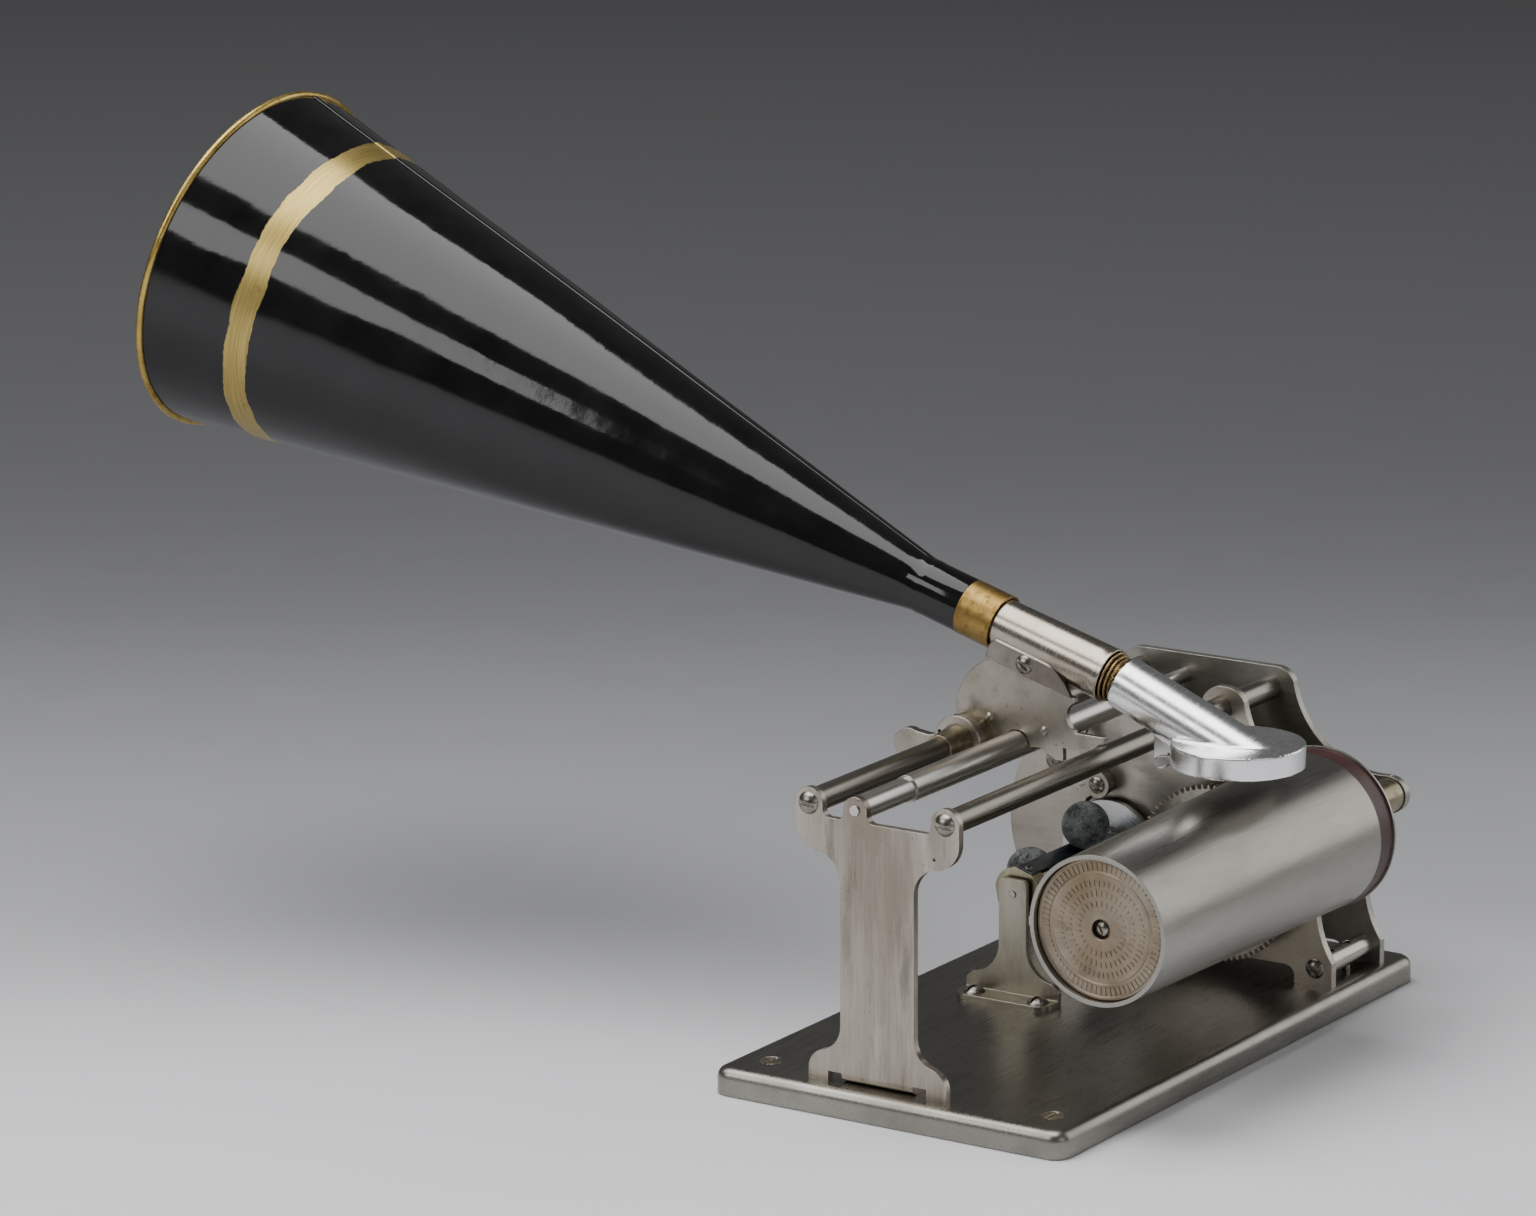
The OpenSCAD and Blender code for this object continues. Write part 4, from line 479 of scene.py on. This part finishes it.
NODE_LOOKS = {
    "bedplate": bed_steel, "corner_screws": eyelet, "end_plate": end_nickel,
    "motor_plate_front": motor_nickel, "motor_plate_rear": motor_nickel_shaded, "rear_rod": rod_dark,
    "front_rod": rod_grey, "pillars": pillar_steel, "rod_screws": screw_nickel,
    "pillar_screws": screw_nickel, "foot_screws": screw_nickel, "bed_bolts": screw_nickel,
    "governor_bracket": bracket_nickel, "bracket_screws": screw_nickel, "brake_stud": screw_nickel,
    "train_studs": arbor_steel, "mandrel_drum": drum_nickel, "cap_screw": screw_nickel,
    "mandrel_shaft": olive_brass, "fibre_band": fibre_red, "mandrel_flange": drum_nickel,
    "mandrel_gear": gear_brass, "great_wheel": gear_grey, "great_arbor": arbor_steel,
    "governor_wheel": gear_brass, "step_up_wheel": gear_brass, "reduction_wheel": gear_brass,
    "spring_wheel": gear_brass, "mainspring": blue_steel, "winding_arbor": arbor_steel,
    "click": arbor_steel, "winding_key": olive_brass, "governor_spindle": arbor_steel,
    "governor_collar": olive_brass, "governor_disc": turned_disc, "governor_springs": blue_steel,
    "governor_screws": screw_nickel, "brake_lever": bracket_nickel, "feed_screw": screw_feed,
    "feed_gear": gear_brass, "feed_idler_lower": gear_brass, "feed_idler_upper": gear_brass,
    "carriage_bushing": olive_brass, "carriage_plate": carriage_nickel, "carriage_hub": olive_brass,
    "lift_lever": carriage_nickel, "carriage_rivets": carriage_nickel, "half_nut": nut_brass,
    "half_nut_spring": rod_dark, "tube_clamp": clamp_nickel, "clamp_screw": screw_nickel,
    "tone_tube": tube_nickel, "diaphragm": clear_mica, "stylus_lever": arbor_steel,
    "horn_ferrule": aged_brass,
}
for node_name, look in NODE_LOOKS.items():
    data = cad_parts[node_name].data
    data.materials.clear()
    data.materials.append(look)


# Horn: a rolled sheet with a soldered seam, a crimp at its throat and a gold rim --------------

def horn_wave(angle, radius, height):
    """Slight unevenness of the rolled and soldered sheet, growing towards the bell."""
    share = min(1.0, max(0.0, (height - HORN_S0) / (HORN_S1 - HORN_S0)))
    spot = Vector((math.cos(angle) * 1.6, math.sin(angle) * 1.6, height * 16.0))
    swell = noise.noise(spot) * SHEET_SWELL * share
    ripple = noise.noise(spot * 3.1 + Vector((7, 3, 1))) * SHEET_RIPPLE * share
    return radius + swell + ripple - SHEET_SHRINK * share


def bead_wave(angle, radius, height):
    spot = Vector((math.cos(angle) * 9, math.sin(angle) * 9, height * 90.0))
    return horn_wave(angle, radius, height) + noise.noise(spot) * BEAD_RIPPLE


def build_horn():
    """The cone's shell with its crimp, the beaded rim, and the soldered lap on the underside."""
    place = matrix_of(TONE_AT, TONE_DIR)
    throat = 15 * MM
    knee = HORN_S0 + throat
    rim = HORN_S1 - 1.2 * MM
    inner = 7.25 * MM
    outer = 7.75 * MM
    bell = 51.6 * MM
    wall = 0.45 * MM
    steps = 90
    profile = [(inner, HORN_S0), (outer, HORN_S0), (outer + 0.12 * MM, HORN_S0 + 0.4 * MM)]
    crimp = ((0.12, 3.2), (0.26, 2.4), (0.3, 1.4), (0.18, 0.4))
    profile += [(outer + lift * MM, knee - back * MM) for lift, back in crimp]
    for i in range(1, steps + 1):
        t = i / steps
        profile.append((outer + (bell - outer) * t, knee + (rim - knee) * t))
    for i in range(steps, -1, -3):
        t = i / steps
        profile.append((max(inner, outer + (bell - outer) * t - wall), knee + (rim - knee) * t))
    shell = lathe("horn_shell", profile, place, 192, 35.0, horn_wave)
    wear(shell, black_japan, "horn", "japan_black", "horn")

    bead_radius = 1.12 * MM
    bead_points = 14
    bead = []
    for i in range(bead_points):
        turn = 2 * math.pi * i / bead_points
        bead.append((bell + bead_radius * math.cos(turn), rim + bead_radius * math.sin(turn)))
    ring = lathe("horn_rim", bead, place, 256, 60.0, bead_wave)
    wear(ring, rim_gold, "horn", "japan_black")

    lap = ((-1.5, -0.1), (-1.3, 0.14), (0.0, 0.2), (1.3, 0.14), (1.5, -0.1))
    lap_at = math.radians(-78)
    lap_rows = 60
    bm = bmesh.new()
    rows = []
    for i in range(lap_rows + 1):
        t = i / lap_rows
        s = knee + (rim - knee - 1.5 * MM) * t
        radius = outer + (bell - outer) * t
        rows.append([])
        for across, lift in lap:
            angle = lap_at + across * MM / radius
            r = horn_wave(angle % (2 * math.pi), radius, s) + lift * MM
            rows[-1].append(bm.verts.new(place @ Vector((r * math.cos(angle), r * math.sin(angle), s))))
    for a, b in zip(rows, rows[1:]):
        for i in range(len(lap) - 1):
            bm.faces.new((a[i], a[i + 1], b[i + 1], b[i]))
    bm.faces.new(rows[0])
    bm.faces.new(rows[-1])
    seam = finish_mesh(bm, "horn_seam", 60.0)
    wear(seam, black_japan, "horn", "japan_black")


# Reproducer: one casting whose neck flows into its round disc -------------------------------

def add_cylinder(bm, place, radius, low, high, segments=96):
    made = bmesh.ops.create_cone(bm, cap_ends=True, segments=segments, radius1=radius,
                                 radius2=radius, depth=high - low)
    middle = Matrix.Translation((0, 0, (low + high) / 2))
    bmesh.ops.transform(bm, matrix=place @ middle, verts=made["verts"])


def cylinder(name, place, radius, low, high, segments=96):
    bm = bmesh.new()
    add_cylinder(bm, place, radius, low, high, segments)
    return mesh_object(bm, name)


def box(name, middle, size):
    bm = bmesh.new()
    add_box(bm, Matrix.Translation(middle) @ Matrix.Diagonal((*size, 1)))
    return mesh_object(bm, name)


def flat_bar(name, outline, low_x, high_x):
    """A flat bar with its (y, z) outline, between two places along X."""
    bm = bmesh.new()
    low = [bm.verts.new((low_x, y, z)) for y, z in outline]
    high = [bm.verts.new((high_x, y, z)) for y, z in outline]
    bm.faces.new(low)
    bm.faces.new(high)
    for i in range(len(outline)):
        j = (i + 1) % len(outline)
        bm.faces.new((low[i], low[j], high[j], high[i]))
    bmesh.ops.recalc_face_normals(bm, faces=bm.faces)
    return mesh_object(bm, name)


def boolean(obj, other, operation):
    step = obj.modifiers.new("cut", "BOOLEAN")
    step.operation = operation
    step.object = other
    step.solver = "EXACT"


def apply_modifiers(obj, name):
    """A new object with the modifiers' result."""
    graph = bpy.context.evaluated_depsgraph_get()
    mesh = bpy.data.meshes.new_from_object(obj.evaluated_get(graph))
    made = bpy.data.objects.new(name, mesh)
    bpy.context.scene.collection.objects.link(made)
    return made


def discard(*objects):
    for obj in objects:
        bpy.data.objects.remove(obj, do_unlink=True)


def build_reproducer():
    """Disc, neck and lug are joined and smoothed into one casting, and then hollowed again."""
    disc_radius = 18.3 * MM
    disc_low = 85.5 * MM
    disc_high = 91.8 * MM
    neck_radius = 7.4 * MM
    neck_bore = 6.0 * MM
    neck_over = 11 * MM
    chamber_radius = 15.7 * MM
    chamber_height = 3.45 * MM
    lug_y = -30.3 * MM
    lug_z = 83.7 * MM
    lug_radius = 2.25 * MM
    lug_half = 2 * MM
    pin_radius = 0.65 * MM
    grain = 0.3 * MM

    neck_start = TONE_AT + TONE_DIR * NECK_S0
    neck_line = DISC_MID - neck_start
    neck_len = neck_line.length
    up = matrix_of(Vector((DISC_MID.x, DISC_MID.y, 0)), (0, 0, 1))
    neck = matrix_of(neck_start, neck_line.normalized())

    disc = cylinder("disc", up, disc_radius - 0.1 * MM, disc_low, disc_high)
    tube = cylinder("tube", neck, neck_radius, 0.0, neck_len + neck_over)
    # The neck is kept from 0.3 mm over the disc's underside upwards
    above = box("above", (DISC_MID.x, DISC_MID.y, disc_low + 30.3 * MM), (100 * MM, 140 * MM, 60 * MM))
    boolean(tube, above, "INTERSECT")
    # Lug under the neck, in the YZ plane, drawn as an outline round its pin
    outline = arc(lug_y, lug_z, lug_radius, 180, 360, 12)
    outline += [(lug_y + lug_radius, 90.6 * MM), (lug_y + 3.6 * MM, 92.4 * MM),
                (lug_y + 1.0 * MM, 93.4 * MM), (lug_y - 8 * MM, 91.4 * MM),
                (lug_y - 8 * MM, 86.6 * MM), (lug_y - lug_radius, 86.3 * MM)]
    lug = flat_bar("lug", outline, DISC_MID.x - lug_half, DISC_MID.x + lug_half)
    boolean(disc, tube, "UNION")
    boolean(disc, lug, "UNION")
    remesh = disc.modifiers.new("remesh", "REMESH")
    remesh.mode = "VOXEL"
    remesh.voxel_size = grain
    smooth = disc.modifiers.new("smooth", "SMOOTH")
    smooth.iterations = 4
    smooth.factor = 0.5
    blended = apply_modifiers(disc, "blended")
    discard(disc, tube, above, lug)

    # The neck's bore with the chamber under the disc, the pin's hole and the way between them
    cuts = bmesh.new()
    add_cylinder(cuts, neck, neck_bore, -2 * MM, neck_len)
    add_cylinder(cuts, up, chamber_radius, disc_low - 2 * MM, disc_low + chamber_height)
    bore = mesh_object(cuts, "bore")
    pin = matrix_of(Vector((DISC_MID.x, lug_y, lug_z)), (1, 0, 0), (0, 1, 0))
    pin_hole = cylinder("pin_hole", pin, pin_radius, -5 * MM, 5 * MM, 32)
    notch = box("notch", (DISC_MID.x, DISC_MID.y + 9.6 * MM, disc_low), (7.2 * MM, 18.6 * MM, 2.8 * MM))
    for other in (bore, pin_hole, notch):
        boolean(blended, other, "DIFFERENCE")
    body = apply_modifiers(blended, "reproducer_casting")
    discard(blended, bore, pin_hole, notch)
    shade_smooth(body, 40.0)
    wear(body, aluminium, "reproducer", "cast_aluminium", "reproducer_body")


# Turned pieces: the tone tube, its rings and the mandrel's cap, then the cast balls -----------

def build_tube():
    """Tone tube, slightly wider towards the reproducer."""
    place = matrix_of(TONE_AT, TONE_DIR)
    wide = 7.5
    narrow = 7.0
    taper_low = -16.9
    taper_high = 17.0
    steps = 16
    profile = [(6.1, -18.2), (7.45, -18.2), (7.62, -18.05), (7.62, -17.2), (wide, taper_low)]
    profile += [(wide + (narrow - wide) * i / steps, taper_low + (taper_high - taper_low) * i / steps)
                for i in range(1, steps + 1)]
    profile += [(narrow, 25.7), (6.9, 25.9), (6.1, 25.9)]
    tube = lathe("tone_tube_skin", in_mm(profile), place, 128, 30.0)
    wear(tube, tube_nickel, "arm", "tube_nickel", "tone_tube")


def build_rings():
    """Turned rings between the tone tube and the reproducer's neck."""
    place = matrix_of(TONE_AT, TONE_DIR)
    profile = [(4.5, -24.9), (5.4, -24.9), (5.4, -22.0)]
    profile += arc(6.0, -21.6, 0.42, 180, 120, 2)
    profile += arc(6.0, -21.6, 0.42, 60, 0, 2)
    groove = 5.6
    bead = 0.36
    for radius, height in ((6.3, -21.3), (6.75, -20.2), (7.2, -18.95)):
        profile += [(groove, height - 0.42)]
        profile += arc(radius - bead, height, bead, -90, 90, 8)
        profile += [(groove, height + 0.42)]
    profile += [(5.5, -18.4), (6.0, -18.19), (6.0, -12.2), (4.5, -12.2)]
    rings = lathe("neck_rings", in_mm(profile), place, 96, 40.0)
    wear(rings, ring_bronze, "arm", "nut_brass", "coupling_rings")


def build_cap():
    """End cap of the mandrel: a shallow turned dish with two raised rings and a raised edge."""
    place = matrix_of(Vector((CAP_X, MANDREL.y, MANDREL.z)), (1, 0, 0), (0, 1, 0))
    profile = [(2.7, 0.8), (2.7, 0.05), (3.0, -0.12), (4.2, -0.12), (4.6, 0.0), (14.6, 0.0),
               (14.9, -0.16), (15.3, -0.16), (15.6, 0.0), (18.0, 0.0), (18.3, -0.2), (18.9, -0.2),
               (19.12, 0.0), (19.12, 1.6), (6.0, 1.6), (6.0, 3.9), (2.7, 3.9)]
    cap = lathe("cap_dish", in_mm(profile), place, 160, 25.0)
    wear(cap, cap_copper, "mandrel", "cap_copper", "mandrel_cap")
    # Four rings of short raised ticks, a plain stamped pattern: how many, at what radius, how large
    tick_height = 0.44
    tick_rings = ((72, 16.8, 2.1, 0.5), (54, 12.4, 1.5, 0.45),
                  (40, 9.6, 1.5, 0.45), (28, 6.9, 1.4, 0.45))
    bm = bmesh.new()
    for ticks, radius, length, width in tick_rings:
        at = Matrix.Translation((radius * MM, 0, 0.0))
        shape = Matrix.Diagonal((length * MM, width * MM, tick_height * MM, 1))
        for i in range(ticks):
            turn = Matrix.Rotation(2 * math.pi * i / ticks, 4, "Z")
            add_box(bm, place @ turn @ at @ shape)
    tick = finish_mesh(bm, "cap_ticks", 20.0)
    wear(tick, cap_copper, "mandrel", "cap_copper")


def build_balls():
    """Cast lead balls, uneven and pitted, with a flat side towards the spindle."""
    balls = 3
    first_turn = 348.3
    ball_x = 30.5 * MM
    ball_radius = 6.72 * MM
    reach = 13.85 * MM
    bm = bmesh.new()
    for i in range(balls):
        turn = math.radians(first_turn + i * 360 / balls)
        out = Vector((0, math.cos(turn), math.sin(turn)))
        mid = Vector((ball_x, GOVERNOR.y, GOVERNOR.z)) + out * reach
        made = bmesh.ops.create_icosphere(bm, subdivisions=5, radius=ball_radius)
        for v in made["verts"]:
            spot = v.co * 420 + Vector((i * 9.0, 0, 0))
            size = 1 + noise.noise(spot * 0.5) * 0.012 + noise.noise(spot * 2.6) * 0.006
            pit = max(0.0, noise.noise(spot * 4.0 + Vector((3, 1, 5))) - 0.42)
            v.co = v.co * (size - pit * 0.09)
            inward = v.co.dot(-out)
            if inward > ball_radius:
                v.co += out * (inward - ball_radius)
            v.co += mid
    cast = finish_mesh(bm, "lead_balls", 180.0)
    wear(cast, lead_grey, "governor", "lead", "governor_balls")


build_horn()
build_reproducer()
build_tube()
build_rings()
build_cap()
build_balls()


# Stage ---------------------------------------------------------------------------------------

def build_floor():
    """A plain floor with painted shade: its colour is pale in front and darker behind the object."""
    bm = bmesh.new()
    bmesh.ops.create_circle(bm, cap_ends=True, segments=96, radius=FLOOR_RADIUS)
    floor = finish_mesh(bm, "floor")
    floor.location.z = -FLOOR_DROP
    mat, tree, shader, coords = start("floor_paint")
    depth = vector_node(tree, "DOT_PRODUCT", coords, AWAY, 1)
    shade = tree.nodes.new("ShaderNodeValToRGB")
    tree.links.new(spread(tree, depth, FLOOR_NEAR, FLOOR_FAR), shade.inputs[0])
    ramp = shade.color_ramp
    ramp.interpolation = "B_SPLINE"
    ramp.elements[0].position = 0.0
    ramp.elements[1].position = 1.0
    # Painted shade: the floor's colour falls from pale near the camera to dark behind the object, in
    # place of the light's fall-off.
    painted_shade_tones = ((FLOOR_NEAR, 0.86), (-0.15, 0.86), (-0.04, 0.78), (0.04, 0.58), (0.12, 0.38),
             (0.22, 0.33), (0.32, 0.28), (0.50, 0.155), (0.75, 0.115), (1.1, 0.12), (1.5, 0.13),
             (2.2, 0.155), (FLOOR_FAR, 0.12))
    for reach, tone in painted_shade_tones:
        place = (reach - FLOOR_NEAR) / (FLOOR_FAR - FLOOR_NEAR)
        if 0.0 < place < 1.0:
            stop = ramp.elements.new(place)
        else:
            stop = ramp.elements[0 if place == 0.0 else -1]
        stop.color = (tone * 0.985, tone * 0.995, tone * 1.03, 1)
    tree.links.new(shade.outputs[0], shader.inputs["Base Color"])
    fine = cloud(tree, coords, 40.0, 3.0, 0.5)
    tree.links.new(spread(tree, fine, 0.3, 0.7, 0.55, 0.65), shader.inputs["Roughness"])
    shader.inputs["Specular IOR Level"].default_value = 0.2
    floor.data.materials.append(mat)


def softbox(name, place, target, width, height, power):
    """An area light of so many watts at place, turned to target, with its sides in metres."""
    data = bpy.data.lights.new(name, "AREA")
    data.shape = "RECTANGLE"
    data.size = width
    data.size_y = height
    data.energy = power
    obj = bpy.data.objects.new(name, data)
    aim = (Vector(target) - Vector(place)).to_track_quat("-Z", "Y")
    obj.matrix_world = Matrix.Translation(place) @ aim.to_matrix().to_4x4()
    bpy.context.scene.collection.objects.link(obj)


def build_camera():
    """The photograph's viewpoint, solved from the bed's corners, the rods and the drum."""
    ahead = Vector((math.cos(CAMERA_DIP) * math.cos(CAMERA_AZIMUTH),
                    math.cos(CAMERA_DIP) * math.sin(CAMERA_AZIMUTH), -math.sin(CAMERA_DIP)))
    level = Vector((math.sin(CAMERA_AZIMUTH), -math.cos(CAMERA_AZIMUTH), 0))
    upright = level.cross(ahead)
    right = level * math.cos(CAMERA_ROLL) + upright * math.sin(CAMERA_ROLL)
    up = upright * math.cos(CAMERA_ROLL) - level * math.sin(CAMERA_ROLL)
    data = bpy.data.cameras.new("camera")
    data.sensor_width = 36.0
    data.lens = CAMERA_LENS
    data.clip_start = 0.05
    data.clip_end = 60.0
    cam = bpy.data.objects.new("camera", data)
    spot = Matrix((right, up, -ahead)).transposed().to_4x4()
    spot.translation = CAMERA_AT
    cam.matrix_world = spot
    bpy.context.scene.collection.objects.link(cam)
    bpy.context.scene.camera = cam


def build_world():
    world = bpy.data.worlds.new("studio")
    world.use_nodes = True
    background = world.node_tree.nodes["Background"]
    background.inputs["Color"].default_value = WORLD_COLOR
    background.inputs["Strength"].default_value = WORLD_STRENGTH
    bpy.context.scene.world = world


build_floor()
build_camera()
softbox("overhead", (-0.25, 0.38, 1.7), (-0.2, 0.3, 0.05), 1.5, 1.4, 32.0)
softbox("right_box", (1.44, -1.08, 0.72), (0, 0, 0.08), 1.6, 1.4, 11.5)
softbox("left_box", (-1.57, 0.78, 1.16), (0, 0.1, 0.15), 1.3, 0.6, 11.0)
softbox("front_box", (-0.6, -1.9, 0.8), (0, 0, 0.08), 1.1, 0.9, 3.5)
softbox("edge_box", (-0.6, 1.5, 1.75), (0, 0, 0.05), 1.2, 0.7, 7.0)
build_world()
